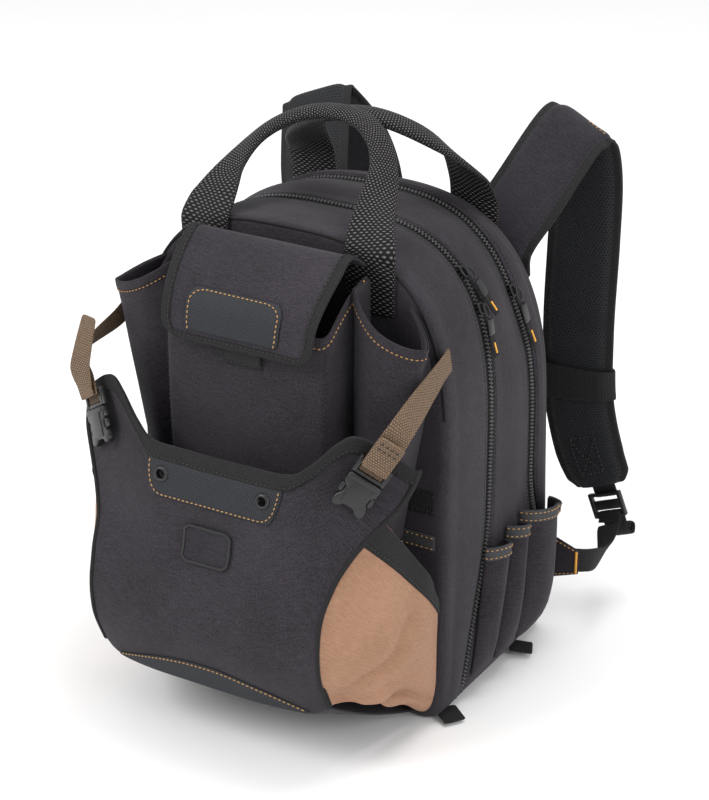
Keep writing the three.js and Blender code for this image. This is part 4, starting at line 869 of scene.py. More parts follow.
def sew(name, lines, finish, width=STITCH_WIDTH):
    """Rows of stitches along lines on the cloth."""
    spots = [spot for line in lines for spot in along_line(line, STITCH_LENGTH + STITCH_GAP)]
    dress(bars(name, spots, (STITCH_LENGTH, width, width)), finish)


def bartack(name, tacks, width=3.0):
    """Dense cross stitches: each tack is a short line of points with their outward directions."""
    spots = []
    for line in tacks:
        for centre, run, out in along_line(line, 0.8):
            spots.append((centre, run.cross(out), out))
    dress(bars(name, spots, (width, 0.95, 1.2)), GOLD_THREAD)


# The outline of the bag

def back_y(z):
    return BACK_Y - BACK_LEAN * z / BAG_HEIGHT


def top_at(y):
    return BAG_HEIGHT + (FRONT_RISE * y / FRONT_Y if y < 0 else -BACK_DROP * y / BACK_Y)


def dome_power(y):
    return lerp(FRONT_DOME_POWER, BACK_DOME_POWER, clamp(y / back_y(BAG_HEIGHT)))


def outline(angle, y, inset=0.0):
    c, s = math.cos(angle), math.sin(angle)
    half = BAG_WIDTH / 2 - inset
    reach = (top_at(y) - SHOULDER_Z if s >= 0 else SHOULDER_Z + BASE_PRESS) - inset
    power = dome_power(y) if s >= 0 else FOOT_POWER
    r = (abs(c / half) ** power + abs(s / reach) ** power) ** (-1 / power)
    return Vector((r * c, y, max(SHOULDER_Z + r * s, inset)))


def half_width(z, y, inset=0.0):
    up = z >= SHOULDER_Z
    half = BAG_WIDTH / 2 - inset
    reach = (top_at(y) - SHOULDER_Z if up else SHOULDER_Z + BASE_PRESS) - inset
    power = dome_power(y) if up else FOOT_POWER
    share = clamp(abs(z - SHOULDER_Z) / reach)
    return half * (1 - share**power) ** (1 / power)


def outline_shares(count):
    """Shares of a turn round the outline, closer together where it bends."""
    fine = 1440
    ring = [outline(-math.pi / 2 + 2 * math.pi * i / fine, 0) for i in range(fine + 2)]
    weights = [0.0]
    perimeter = sum((b - a).length for a, b in zip(ring[:-1], ring[1:-1]))
    for i in range(fine):
        step = ring[i + 1] - ring[i]
        ahead = ring[i + 2 if i + 2 <= fine else 1] - ring[i + 1 if i + 1 < fine else 0]
        weights.append(weights[-1] + step.length / perimeter + 0.4 * step.angle(ahead, 0.0) / math.pi)
    made, i = [], 0
    for k in range(count):
        goal = weights[-1] * k / count
        while weights[i + 1] < goal:
            i += 1
        made.append((i + (goal - weights[i]) / (weights[i + 1] - weights[i])) / fine)
    return made + [1.0]


TURNS = outline_shares(OUTLINE_COLUMNS)


def turn_angle(share):
    return -math.pi / 2 + 2 * math.pi * share


def front_zip_y(z):
    return FRONT_ZIP_Y + FRONT_ZIP_SWING * smooth((ZIP_SWING_TOP - z) / ZIP_SWING_TOP)


def rear_zip_y(z):
    return read(REAR_ZIP_RUN, z)


def zip_half(z):
    return ZIP_WIDTH / 2 * smooth((z - ZIP_FOOT_Z) / ZIP_TAPER)


def rim_y(zip_y, side):
    return lambda z: zip_y(z) + side * (zip_half(z) + GAP / 2)


def outline_point(share, depth_at, inset=0.0, puff=0.0):
    """A point of the outline at a depth that depends on its height, standing out by a puff."""
    angle = turn_angle(share)
    z = outline(angle, 0).z
    p = outline(angle, depth_at(z), inset)
    above = max(p.z - SHOULDER_Z, 0) / (BAG_HEIGHT - SHOULDER_Z)
    away = Vector((p.x / (BAG_WIDTH / 2), 0, above))
    if puff and away.length > 1e-6:
        p += away.normalized() * puff * smooth(p.z / PUFF_START)
    return p


# Shares of an end shell's run from the middle of its wall to its rim by the zip
WALL_SHARE = 0.5
EDGE_SHARE = 0.6
WALL_INSETS = [(0.0, 150), (0.15, 118), (0.3, 62), (0.42, 24), (0.5, EDGE_RADIUS)]


def end_place(wall_y, turn, rim, puff):
    def place(down, over):
        if down <= 0:
            return Vector((0, wall_y(SHOULDER_Z), SHOULDER_Z))
        if down <= WALL_SHARE:
            return outline_point(over, wall_y, read(WALL_INSETS, down))
        if down <= EDGE_SHARE:
            phi = math.pi / 2 * (down - WALL_SHARE) / (EDGE_SHARE - WALL_SHARE)
            back = turn * EDGE_RADIUS * (1 - math.cos(phi))
            return outline_point(over, lambda z: wall_y(z) - back, EDGE_RADIUS * (1 - math.sin(phi)))
        share = (down - EDGE_SHARE) / (1 - EDGE_SHARE)
        depth = lambda z: lerp(wall_y(z) - turn * EDGE_RADIUS, rim(z), share)
        return outline_point(over, depth, 0.0, puff * math.sin(math.pi * share))
    return place


def side_dents(p, near_zip):
    """Long soft dents of the sides, with small puckers where the cloth is sewn to a zip."""
    low = smooth(p.z / 60)
    soft = swell(Vector((p.x / 110, p.y / 38, p.z / 130)))
    pucker = swell(Vector((p.y / 16, p.z / 13, p.x / 60)))
    cross = swell(Vector((p.x / 90, (p.y + p.z * 0.4) / 60, p.z / 48)))
    dent = 2.9 * soft + 1.6 * cross
    return -(dent * (1 - 0.85 * near_zip) + 0.6 * near_zip * pucker) * low


def end_creases(p, down, over):
    if down <= EDGE_SHARE:
        return -0.5 * swell(p / 70) * smooth(down / EDGE_SHARE)
    share = (down - EDGE_SHARE) / (1 - EDGE_SHARE)
    return side_dents(p, smooth((share - 0.55) / 0.4)) * smooth(share * 5)


def middle_place(down, over):
    front, rear = rim_y(front_zip_y, 1), rim_y(rear_zip_y, -1)
    puff = SIDE_PUFF * math.sin(math.pi * down)
    return outline_point(over, lambda z: lerp(front(z), rear(z), down), 0.0, puff)


def middle_creases(p, down, over):
    return side_dents(p, smooth((abs(down - 0.5) - 0.28) / 0.2))


FRONT_FACE = Face(end_place(lambda z: FRONT_Y, -1, rim_y(front_zip_y, -1), FRONT_PUFF), end_creases)
BACK_FACE = Face(end_place(back_y, 1, rim_y(rear_zip_y, 1), BACK_PUFF), end_creases)
MIDDLE_FACE = Face(middle_place, middle_creases)
END_DOWNS = [0, 0.08, 0.16, 0.24, 0.32, 0.38, 0.44, 0.5, 0.52, 0.54, 0.56, 0.58, 0.6]
END_DOWNS += [EDGE_SHARE + 0.4 * k / 13 for k in range(1, 14)]


def make_shells():
    for name, face in (("front_shell", FRONT_FACE), ("back_shell", BACK_FACE)):
        piece = cloth_piece(name + "_cloth", face, END_DOWNS, TURNS, SHELL_WALL, wrap=True, pole=True)
        dress(piece, CHARCOAL, name)
    piece = cloth_piece("middle_shell_cloth", MIDDLE_FACE, shares(18), TURNS, SHELL_WALL, wrap=True)
    dress(piece, CHARCOAL, "middle_shell")
    inner = [s for s in TURNS if 0.04 < s < 0.96]
    for name, face, down in (
        ("front_zip_seam_fore", FRONT_FACE, 0.965),
        ("front_zip_seam_aft", MIDDLE_FACE, 0.05),
        ("rear_zip_seam_fore", MIDDLE_FACE, 0.95),
        ("rear_zip_seam_aft", BACK_FACE, 0.94),
    ):
        sew(name, [face.row(down, inner, 0.1)], DARK_THREAD)


def make_front_piping():
    """The piped seam over the front wall's top, between the handle's feet."""
    rings = []
    ends = (0.5 - FRONT_PIPING_HALF, 0.5 + FRONT_PIPING_HALF)
    line = FRONT_FACE.line([(FRONT_PIPING_DOWN, end) for end in ends], 0.3)
    for k in range(1, len(line) - 1):
        along = (line[k + 1][0] - line[k - 1][0]).normalized()
        p, out = line[k]
        aside = along.cross(out)
        around = [out * math.sin(a) + aside * math.cos(a) for a in turns_round(8)]
        rings.append([p + away * FRONT_PIPING_RADIUS for away in around])
    dress(ring_piece("front_top_piping", rings), BINDING)


# Zips

def zip_place(zip_y):
    def place(down, over):
        angle = turn_angle(lerp(ZIP_START, 1 - ZIP_START, over))
        z = outline(angle, 0).z
        return outline(angle, zip_y(z) + (zip_half(z) + ZIP_TUCK) * (2 * down - 1), ZIP_SUNK)
    return place


def make_zip(name, zip_y):
    face = Face(zip_place(zip_y))
    piece = cloth_piece(name + "_tape", face, shares(4), shares(150), 1.0)
    dress(piece, BINDING, name)
    line = face.row(0.5, shares(600), 0.9)
    spots = []
    for n, (centre, run, out) in enumerate(along_line(line, TOOTH_PITCH / 2)):
        side = 1 if n % 2 else -1
        across = run.cross(out).normalized()
        lean = across + run.normalized() * 0.12 * side
        spots.append((centre + across * (side * 1.5), lean, out))
    dress(bars(name + "_coil", spots, TOOTH), COIL)


# Curves

def knot(points, share):
    """A point of a smooth curve through points, with even pull whatever their spacing."""
    last = len(points) - 1
    at = clamp(share) * last
    i = min(int(at), last - 1)
    t = at - i
    p1, p2 = points[i], points[i + 1]
    p0 = points[i - 1] if i > 0 else p1 * 2 - p2
    p3 = points[i + 2] if i + 2 <= last else p2 * 2 - p1
    d1 = max((p1 - p2).length_squared ** 0.25, 1e-4)
    d0 = max((p0 - p1).length_squared ** 0.25, 1e-4)
    d2 = max((p2 - p3).length_squared ** 0.25, 1e-4)
    m1 = ((p1 - p0) / d0 - (p2 - p0) / (d0 + d1) + (p2 - p1) / d1) * d1
    m2 = ((p2 - p1) / d1 - (p3 - p1) / (d1 + d2) + (p3 - p2) / d2) * d1
    return p1 + m1 * t + (p2 * 3 - p1 * 3 - m1 * 2 - m2) * t * t + (p1 * 2 - p2 * 2 + m1 + m2) * t**3


class Band:
    """A strap or webbing along a path. A row is its middle, its breadth's direction, width and thickness."""

    def __init__(self, rows):
        self.rows = rows
        self.points = [row[0] for row in rows]

    def frame(self, share):
        last = len(self.rows) - 1
        i = min(int(clamp(share) * last), last - 1)
        t = clamp(share) * last - i
        a, b = self.rows[i], self.rows[i + 1]
        step = 1e-3
        along = knot(self.points, min(share + step, 1)) - knot(self.points, max(share - step, 0))
        along.normalize()
        across = a[1].lerp(b[1], t)
        across = (across - along * across.dot(along)).normalized()
        return {
            "at": knot(self.points, share), "along": along, "across": across,
            "out": across.cross(along).normalized(),
            "width": lerp(a[2], b[2], t), "thick": lerp(a[3], b[3], t),
        }

    def place(self, share, over, up, stand=0.0):
        """A point over half widths and up half thicknesses from the middle, standing off its face."""
        f = self.frame(share)
        lift = up * f["thick"] / 2 + (stand if up >= 0 else -stand)
        return f["at"] + f["across"] * (over * f["width"] / 2) + f["out"] * lift

    def line(self, stops, up, stand=0.35, step=0.004):
        """A line on one face through stops, which are pairs of share and over."""
        made = []
        for (s0, o0), (s1, o1) in zip(stops, stops[1:]):
            count = max(int(max(abs(s1 - s0) / step, abs(o1 - o0) * 12)), 1)
            for k in range(count + 1):
                s, o = lerp(s0, s1, k / count), lerp(o0, o1, k / count)
                out = self.frame(s)["out"] * (1 if up >= 0 else -1)
                made.append((self.place(s, o, up, stand), out))
        return made

    def share_at(self, z, low=0.5, high=1.0):
        """The share of a falling run at which it reaches a height."""
        for _ in range(30):
            middle = (low + high) / 2
            if self.frame(middle)["at"].z > z:
                low = middle
            else:
                high = middle
        return (low + high) / 2

    def mirrored(self):
        return Band([(flip(at), flip(across), width, thick) for at, across, width, thick in self.rows])


def turns_round(count):
    return [2 * math.pi * k / count for k in range(count)]


def rounded_flat(turn, power):
    """A point of a rounded flat section, in halves of its width and of its thickness."""
    c, s = math.cos(turn), math.sin(turn)
    r = (abs(c) ** power + abs(s) ** power) ** (-1 / power)
    return r * c, r * s


def in_section(frame, over, up):
    aside = frame["across"] * (over * frame["width"] / 2)
    return frame["at"] + aside + frame["out"] * (up * frame["thick"] / 2)


def flat_ring(frame, power):
    """A rounded flat section round a band's frame."""
    return [in_section(frame, *rounded_flat(turn, power)) for turn in turns_round(16)]


def webbing_piece(name, band, steps, finish, nodes=()):
    rings = [flat_ring(band.frame(s), 6.0) for s in shares(steps)]
    piece = ring_piece(name, rings)
    declare_cloth(piece, band.rows[0][2], distances([band.frame(s)["at"] for s in shares(60)])[-1])
    dress(piece, finish, nodes)


# Pockets on the upper front

BOX_PLAN = [
    (0, -1, 0), (0.13, -1, 0.5), (0.26, -0.99, 0.9), (0.33, -0.93, 1), (0.5, 0, 1.04),
    (0.67, 0.93, 1), (0.74, 0.99, 0.9), (0.87, 1, 0.5), (1, 1, 0),
]
BOX_PROFILE = [
    (0, 1, 1), (0.25, 1.03, 0.75), (0.5, 1.02, 0.45), (0.75, 0.95, 0.15), (0.9, 0.7, 0.03), (1, 0.08, 0),
]
TOOL_PLAN = [
    (0, 0, 0, 0), (0.14, 0, 0.8, 0), (0.28, 0.1, 1.1, 0), (0.46, 0.5, 1.5, 0),
    (0.64, 0.85, 1.3, 0), (0.76, 1, 1, 0), (0.88, 1, 0.5, 0.5), (1, 1, 0, 1),
]


def flap_pocket_place(down, over):
    half = FLAP_POCKET_WIDTH / 2 - CLOTH
    room = FLAP_POCKET_DEPTH - CLOTH - (FRONT_Y - POCKET_BACK_Y)
    plan = read(BOX_PLAN, over, 2)
    top = lerp(FLAP_POCKET_BACK_TOP, FLAP_POCKET_FRONT_TOP, clamp(plan) ** 2)
    z = lerp(FLAP_POCKET_BOTTOM, top, read(BOX_PROFILE, down, 2))
    return Vector((half * read(BOX_PLAN, over), POCKET_BACK_Y - room * read(BOX_PROFILE, down) * plan, z))


def tool_pocket_place(down, over):
    inner = FLAP_POCKET_WIDTH / 2 + GAP + CLOTH
    corner = FRONT_Y - TOOL_POCKET_CORNER_Y
    fall = read(BOX_PROFILE, down, 2)
    deep = read(BOX_PROFILE, down)
    reach = clamp(read(TOOL_PLAN, over))
    rise = TOOL_POCKET_INNER_TOP - TOOL_POCKET_OUTER_TOP
    rim = TOOL_POCKET_OUTER_TOP + rise * (1 - reach) ** 1.6
    outer = read(TOOL_PLAN, over, 3)
    z = lerp(TOOL_POCKET_BOTTOM, rim + rise * 0.5 * outer, fall)
    wide = lerp(TOOL_POCKET_OUT - TOOL_POCKET_TAPER, TOOL_POCKET_OUT, fall)
    edge = min(half_width(z, FRONT_Y, EDGE_RADIUS), wide)
    bulge = (corner + TOOL_POCKET_BULGE) / (1.5 * corner)
    depth = corner * deep * read(TOOL_PLAN, over, 2) * bulge
    return Vector((lerp(inner, lerp(wide, edge, outer), read(TOOL_PLAN, over)), POCKET_BACK_Y - depth, z))


def pocket_creases(p, down, over):
    inside = math.sin(math.pi * clamp(over)) ** 0.5
    long_fold = swell(Vector((p.x / 26, p.y / 40, p.z / 120)))
    dent = swell(Vector((p.x / 45, p.y / 40, p.z / 45 + 7)))
    return -(2.0 * long_fold + 1.5 * dent) * inside * smooth(down * 6)


FLAP_POCKET_FACE = Face(flap_pocket_place, pocket_creases, CLOTH)
TOOL_POCKET_FACE = Face(tool_pocket_place, pocket_creases, CLOTH)

# The lid's run from its seam on the bag, over the pocket and down its front
FLAP_RUN = [
    (0, 0, 1), (0.14, 0.6, 1), (0.33, 1, 1), (0.55, 0.86, 1),
    (0.8, 0.64, 0.97), (0.96, 0.42, 0.94), (1.02, 0.2, 0.93), (1.04, 0, 0.92),
]


def flap_place(down, over):
    reach = FLAP_POCKET_DEPTH + FLAP_CLEAR
    knots = []
    for i, (depth, z, _) in enumerate(FLAP_RUN):
        foot = FLAP_ROOT_Z if i < 2 else FLAP_FRONT_Z
        knots.append((POCKET_BACK_Y - reach * depth, lerp(foot, FLAP_TOP_Z, z)))
    last = len(knots) - 1
    at = clamp(down) * last
    i = min(int(at), last - 1)
    t = at - i
    p0, p1, p2, p3 = knots[max(i - 1, 0)], knots[i], knots[i + 1], knots[min(i + 2, last)]
    run = []
    for a, b, c, d in zip(p0, p1, p2, p3):
        v0, v1 = (c - a) * 0.5, (d - b) * 0.5
        run.append((2 * b - 2 * c + v0 + v1) * t**3 + (-3 * b + 3 * c - 2 * v0 - v1) * t * t + v0 * t + b)
    length = FLAP_TOP_Z - FLAP_FRONT_Z + reach
    below = clamp((down - 1) * length + FLAP_CORNER, 0, FLAP_CORNER)
    narrow = FLAP_CORNER - math.sqrt(max(FLAP_CORNER**2 - below**2, 0))
    width = lerp(FLAP_RUN[i][2], FLAP_RUN[i + 1][2], t)
    return Vector(((FLAP_WIDTH / 2 * width - narrow) * (2 * over - 1), run[0], run[1]))


def flap_creases(p, down, over):
    sag = noise.noise(Vector((p.x / 60, p.y / 50, p.z / 50)))
    return 1.1 * sag * math.sin(math.pi * clamp(over)) * smooth(down * 4)


FLAP_FACE = Face(flap_place, flap_creases, CLOTH)
FLAP_END = 0.995


def flap_patch_place(down, over):
    share = lerp(0.9 - FLAP_PATCH_HEIGHT / FLAP_LENGTH, 0.9, down)
    round_top = 1 - 0.16 * (1 - min(down / 0.28, 1)) ** 2
    half = FLAP_PATCH_WIDTH / FLAP_WIDTH / 2 * round_top
    return FLAP_FACE.point(share, 0.5 + FLAP_PATCH_X / FLAP_WIDTH + half * (2 * over - 1))


def flap_edge(inset):
    """The pairs of shares that run down one side of the lid, along its hem and up the other side."""
    side = inset / FLAP_WIDTH
    foot = FLAP_END - inset / FLAP_LENGTH
    downs = [0.1, 0.3, 0.5, 0.7, 0.8, 0.86, 0.9, 0.93, 0.96, foot]
    left = [(min(d, foot), side) for d in downs]
    hem = [(foot, lerp(side, 1 - side, k / 12)) for k in range(13)]
    return left + hem + [(d, 1 - o) for d, o in reversed(left)]


def make_flap_pocket():
    piece = cloth_piece("flap_pocket_cloth", FLAP_POCKET_FACE, shares(34), shares(44), CLOTH)
    dress(piece, CHARCOAL, "flap_pocket")
    sew("flap_pocket_hem", [FLAP_POCKET_FACE.row(0.045, shares(60), 0.2)], TAN_THREAD)
    edges = [FLAP_POCKET_FACE.line([(0.06, over), (0.8, over)], 0.2, 0.02) for over in (0.3, 0.7)]
    sew("flap_pocket_edges", edges, DARK_THREAD)
    downs = [k / 40 * FLAP_END for k in range(41)]
    lid = cloth_piece("pocket_flap_cloth", FLAP_FACE, downs, shares(36), CLOTH)
    dress(lid, CHARCOAL, "pocket_flap")
    make_lid_binding()
    patch = Face(flap_patch_place, None, THIN + GAP)
    piece = cloth_piece("flap_patch_cloth", patch, shares(10), shares(20), THIN)
    dress(piece, COATED, "flap_patch")
    half = [(1.0, 0.035), (0.3, 0.035), (0.12, 0.07), (0.06, 0.14)]
    route = half + [(0.06, 0.86), (0.12, 0.93), (0.3, 0.965), (1, 0.965)]
    sew("flap_patch_seam", [patch.line(route, 0.3, 0.05)], TAN_THREAD)


def tape_along(name, face, edge, inner, thick, finish, nodes=()):
    """Lays a binding tape between two routes of shares on a face, and gives the tape's face."""
    count = len(edge) - 1

    def place(down, over):
        at = clamp(over) * count
        i = min(int(at), count - 1)
        t = at - i
        a = [lerp(edge[i][n], edge[i + 1][n], t) for n in (0, 1)]
        b = [lerp(inner[i][n], inner[i + 1][n], t) for n in (0, 1)]
        return face.point(lerp(a[0], b[0], down), lerp(a[1], b[1], down))

    tape = Face(place, None, thick, turned=1.0)
    probe = tape.normal(0.5, 0.5)
    mid_edge = edge[count // 2]
    if probe.dot(face.normal(*mid_edge)) < 0:
        tape.turn = -1.0
    dress(cloth_piece(name, tape, shares(4), shares(count * 4), thick), finish, nodes)
    return tape


def make_lid_binding():
    edge, inner = flap_edge(0.4), flap_edge(10.5)
    tape = tape_along("flap_binding", FLAP_FACE, edge, inner, 1.1, BINDING)
    sew("flap_binding_seam", [tape.line([(0.82, 0), (0.82, 1)], 0.2, 0.01)], DARK_THREAD)


def make_closure():
    """The hook strip just under the lid's hem, with its sewn edge."""
    low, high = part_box("closure_strip")
    front = low.y / MM
    top, foot = high.z / MM, low.z / MM
    place = lambda d, o: Vector((lerp(-CLOSURE_WIDTH / 2, CLOSURE_WIDTH / 2, o), front, lerp(top, foot, d)))
    face = Face(place)
    strip = cloth_piece("closure_strip_hooks", face, shares(6), shares(14), THIN)
    dress(strip, HOOKS, "closure_strip")
    route = [(0.12, 0.05), (0.12, 0.95), (0.88, 0.95), (0.88, 0.05), (0.12, 0.05)]
    sew("closure_strip_seam", [face.line(route, 0.2, 0.05)], DARK_THREAD)


def make_tool_pockets():
    for label, face in (("right", TOOL_POCKET_FACE), ("left", TOOL_POCKET_FACE.mirrored())):
        piece = cloth_piece("tool_pocket_" + label + "_cloth", face, shares(34), shares(36), CLOTH)
        dress(piece, CHARCOAL, "tool_pocket_" + label)
        edge = [(0.0, o) for o in shares(24)]
        inner = [(0.04, o) for o in shares(24)]
        tape_along("tool_pocket_" + label + "_binding", face, edge, inner, 0.9, CHARCOAL)
        sew("tool_pocket_" + label + "_seam", [face.row(0.046, shares(80), 0.3)], TAN_THREAD)
        tack = face.line([(0.0, 0.045), (0.1, 0.045)], 0.5, 0.02)
        bartack("tool_pocket_" + label + "_tack", [tack], 2.2)


# The front pouch

TOP_EDGE = [
    (0, 0, POUCH_TOP_Z), (0.35, POUCH_FLAT_HALF, POUCH_TOP_Z + 1),
    (0.5, lerp(POUCH_FLAT_HALF, WING_TOP_X, 0.4), lerp(POUCH_TOP_Z, WING_TOP_Z, 0.35)),
    (0.62, lerp(POUCH_FLAT_HALF, WING_TOP_X, 0.72), lerp(POUCH_TOP_Z, WING_TOP_Z, 0.78)),
    (0.75, WING_TOP_X, WING_TOP_Z), (1, WING_CORNER_X, WING_CORNER_Z),
]
FOOT_EDGE = [(0, 0, 0), (0.5, 0.55, 0), (0.75, 0.85, 0.15), (0.9, 0.96, 0.5), (1, 1, 1)]
SIDE_EDGE = [(0, 0), (0.12, 0.14), (0.23, 0.45), (0.34, 0.74), (0.45, 0.92), (0.61, 1), (1, 1)]
PANEL_PROFILE = [(0, 0.9), (0.25, 1), (0.5, 0.975), (0.65, 0.9), (0.9, 0.84), (1, 0.78)]


def panel_y(x, z):
    height = (z - POUCH_FOOT_Z) / (POUCH_TOP_Z - POUCH_FOOT_Z)
    middle = FRONT_Y + (POUCH_FRONT_Y - FRONT_Y) * read(PANEL_PROFILE, height)
    flat = 0.8 * POUCH_FLAT_HALF
    wing = clamp((abs(x) - flat) / (WING_CORNER_X - flat))
    pull = WING_PULL * wing**1.4 * smooth((height - 0.3) / 0.65)
    outer = clamp(abs(x) / POUCH_FOOT_HALF)
    return middle + pull + FOOT_ROUND * outer**4 * (1 - smooth(height / 0.45))


def panel_spot(down, over):
    """The place in the front view of a pair of shares: over runs from -1 on the left to 1."""
    u = abs(over)
    foot_x = POUCH_FOOT_HALF * read(FOOT_EDGE, u)
    foot_z = POUCH_FOOT_Z + POUCH_CORNER_RISE * read(FOOT_EDGE, u, 2)
    x = lerp(read(TOP_EDGE, u), foot_x, read(SIDE_EDGE, down))
    return math.copysign(x, over) if over else 0.0, lerp(read(TOP_EDGE, u, 2), foot_z, down)


def panel_sag(x, z):
    """Slow dents of the panel, deeper between its stiff top edge and its foot."""
    wave = swell(Vector((x / 75, z / 95, 2.0)))
    fine = swell(Vector((x / 30, z / 34, 5.0)))
    return -(2.4 * wave + 1.1 * fine)


def panel_place(down, over):
    x, z = panel_spot(down, 2 * over - 1)
    return Vector((x, panel_y(x, z) - panel_sag(x, z), z))


def panel_face(spot_at, lift):
    """A face that lies on the panel over the places that spot_at gives."""
    def place(down, over):
        x, z = spot_at(down, over)
        return Vector((x, panel_y(x, z) - panel_sag(x, z), z))
    return Face(place, None, lift)


PANEL_FACE = Face(panel_place)


def pierce(piece):
    """Cuts the two eyelet holes through a piece."""
    for side in (-1, 1):
        bpy.ops.object.select_all(action="DESELECT")
        place = (side * GROMMET_X * MM, panel_y(GROMMET_X, GROMMET_Z) * MM, GROMMET_Z * MM)
        bpy.ops.mesh.primitive_cylinder_add(
            vertices=24, radius=(GROMMET_HOLE / 2 + HOLE_CLEAR) * MM, depth=DRILL_LENGTH * MM,
            location=place, rotation=(math.pi / 2, 0, 0))
        drill = bpy.context.active_object
        cut = piece.modifiers.new("eyelet", "BOOLEAN")
        cut.operation = "DIFFERENCE"
        cut.object = drill
        activate(piece)
        bpy.ops.object.modifier_apply(modifier=cut.name)
        bpy.data.objects.remove(drill)


def band_spot(down, over):
    top = POUCH_TOP_Z - BINDING_WIDTH + 2
    half = BAND_HALF * (1 - BAND_TAPER * down**2)
    return half * (2 * over - 1), top - (BAND_HEIGHT - BINDING_WIDTH + 3) * down


def toe_spot(down, over):
    u = 2 * over - 1
    foot = POUCH_FOOT_Z + 2 + 3 * u**6
    return TOE_REACH * POUCH_FOOT_HALF * u, foot + (TOE_HEIGHT * (1 - u * u) + 2) * (1 - down)


def label_spot(down, over):
    """A rectangle with rounded corners."""
    u, v = 2 * over - 1, 1 - 2 * down
    corner = 0.12
    pinch_x = 1 - corner * max(abs(v) - 0.7, 0) ** 2 / 0.09
    pinch_z = 1 - corner * max(abs(u) - 0.8, 0) ** 2 / 0.04
    return LABEL_WIDTH / 2 * u * pinch_x, LABEL_Z + LABEL_HEIGHT / 2 * v * pinch_z


def make_pouch_panel():
    piece = cloth_piece("pouch_front_cloth", PANEL_FACE, shares(44), shares(64), CLOTH)
    pierce(piece)
    dress(piece, CHARCOAL, "pouch_front")
    band = panel_face(band_spot, THIN + GAP)
    piece = cloth_piece("pouch_band_cloth", band, shares(10), shares(36), THIN)
    pierce(piece)
    dress(piece, COATED, "pouch_band")
    half = [(0.05, 0.022), (0.7, 0.022), (0.88, 0.045), (0.93, 0.08)]
    route = half + [(0.93, 0.92), (0.88, 0.955), (0.7, 0.978), (0.05, 0.978)]
    sew("pouch_band_seam", [band.line(route, 0.3, 0.02)], TAN_THREAD)
    edge = [(0.0, o) for o in shares(48)]
    inner = [(BINDING_WIDTH / (POUCH_TOP_Z - POUCH_FOOT_Z), o) for o in shares(48)]
    name = "pouch_binding"
    tape = tape_along(name + "_tape", PANEL_FACE, edge, inner, 1.9, BINDING, name)
    sew("pouch_binding_seam", [tape.line([(0.8, 0), (0.8, 1)], 0.2, 0.01)], DARK_THREAD)
    toe = panel_face(toe_spot, THIN + GAP)
    piece = cloth_piece("toe_patch_cloth", toe, shares(8), shares(44), THIN)
    dress(piece, COATED, "toe_patch")
    sew("toe_patch_seam", [toe.line([(0.1, 0.02), (0.1, 0.98)], 0.3, 0.01)], TAN_THREAD)
    make_label()


def make_label():
    """A bare woven label with a raised merrowed rim."""
    label = panel_face(label_spot, LABEL_THICK + GAP)
    piece = cloth_piece("label_patch_cloth", label, shares(12), shares(16), LABEL_THICK)
    dress(piece, STRAP_CLOTH, "label_patch")
    route = [(0.03, 0.1), (0.03, 0.9), (0.1, 0.97), (0.9, 0.97), (0.97, 0.9), (0.97, 0.1)]
    route += [(0.9, 0.03), (0.1, 0.03), (0.03, 0.1)]
    line = label.line(route, 0.2, 0.03)
    spots = [(c, run.cross(out), out) for c, run, out in along_line(line, 0.9)]
    dress(bars("label_rim", spots, (3.0, 0.95, 1.5)), DARK_THREAD)


def make_grommet(side, label):
    """An eyelet: a rolled ring with its sleeve, turned from a spun profile."""
    x, z = side * GROMMET_X, GROMMET_Z
    step = 4
    lie = lambda a, b: panel_y(a, b) - panel_sag(a, b)
    slope = (lie(x, z + step) - lie(x, z - step)) / (2 * step)
    turn = (lie(x + step, z) - lie(x - step, z)) / (2 * step)
    out = Vector((turn, -1, slope)).normalized()
    across = Vector((1, turn, 0)).normalized()
    up = out.cross(across).normalized()
    r, big = GROMMET_HOLE / 2, GROMMET_OUTER / 2
    profile = [(r, -3), (r - 0.1, 2.4), (r + 0.5, 3.4), (r + 1.4, 3.7), (big - 1, 3.0)]
    profile += [(big, 1.9), (big, 1.4), (r + 1, 1.6), (r + 0.7, -3)]
    centre = Vector((x, lie(x, z), z))
    rings = []
    for a in turns_round(40):
        aside = across * math.cos(a) + up * math.sin(a)
        rings.append([centre + aside * radius + out * height for radius, height in profile])
    piece = ring_piece("grommet_" + label + "_metal", rings, joined=True)
    dress(piece, METAL, "grommet_" + label)


# Gusset, piping and floor of the pouch

def beside_pouch(p):
    edge = panel_y(min(abs(p.x), WING_CORNER_X), p.z) + CLOTH + 4 * GAP
    return Vector((p.x, clamp(p.y, edge, FRONT_Y - GAP), p.z))


def gusset_place(down, over):
    x, z = panel_spot(lerp(GUSSET_START, 0.985, down), 1)
    front = Vector((x - GAP, panel_y(x, z) + CLOTH + 5 * GAP, z))
    back_z = lerp(GUSSET_TOP_Z, GUSSET_FOOT_Z, down)
    back = Vector((half_width(back_z, FRONT_Y, EDGE_RADIUS), FRONT_Y - GAP, back_z))
    span = back - front
    outward = Vector((span.y, -span.x, 0)).normalized()
    if outward.x < 0:
        outward.negate()
    across = math.sin(math.pi * clamp(over))
    belly = across**0.8 * (0.25 + 0.75 * math.sin(math.pi * clamp(down * 0.85 + 0.1)))
    fan = math.atan2(1 - down, over + 0.05)
    fold = GUSSET_FOLD * math.sin(fan * 11) * across * down
    return front.lerp(back, over) + outward * (GUSSET_BULGE * belly + fold)


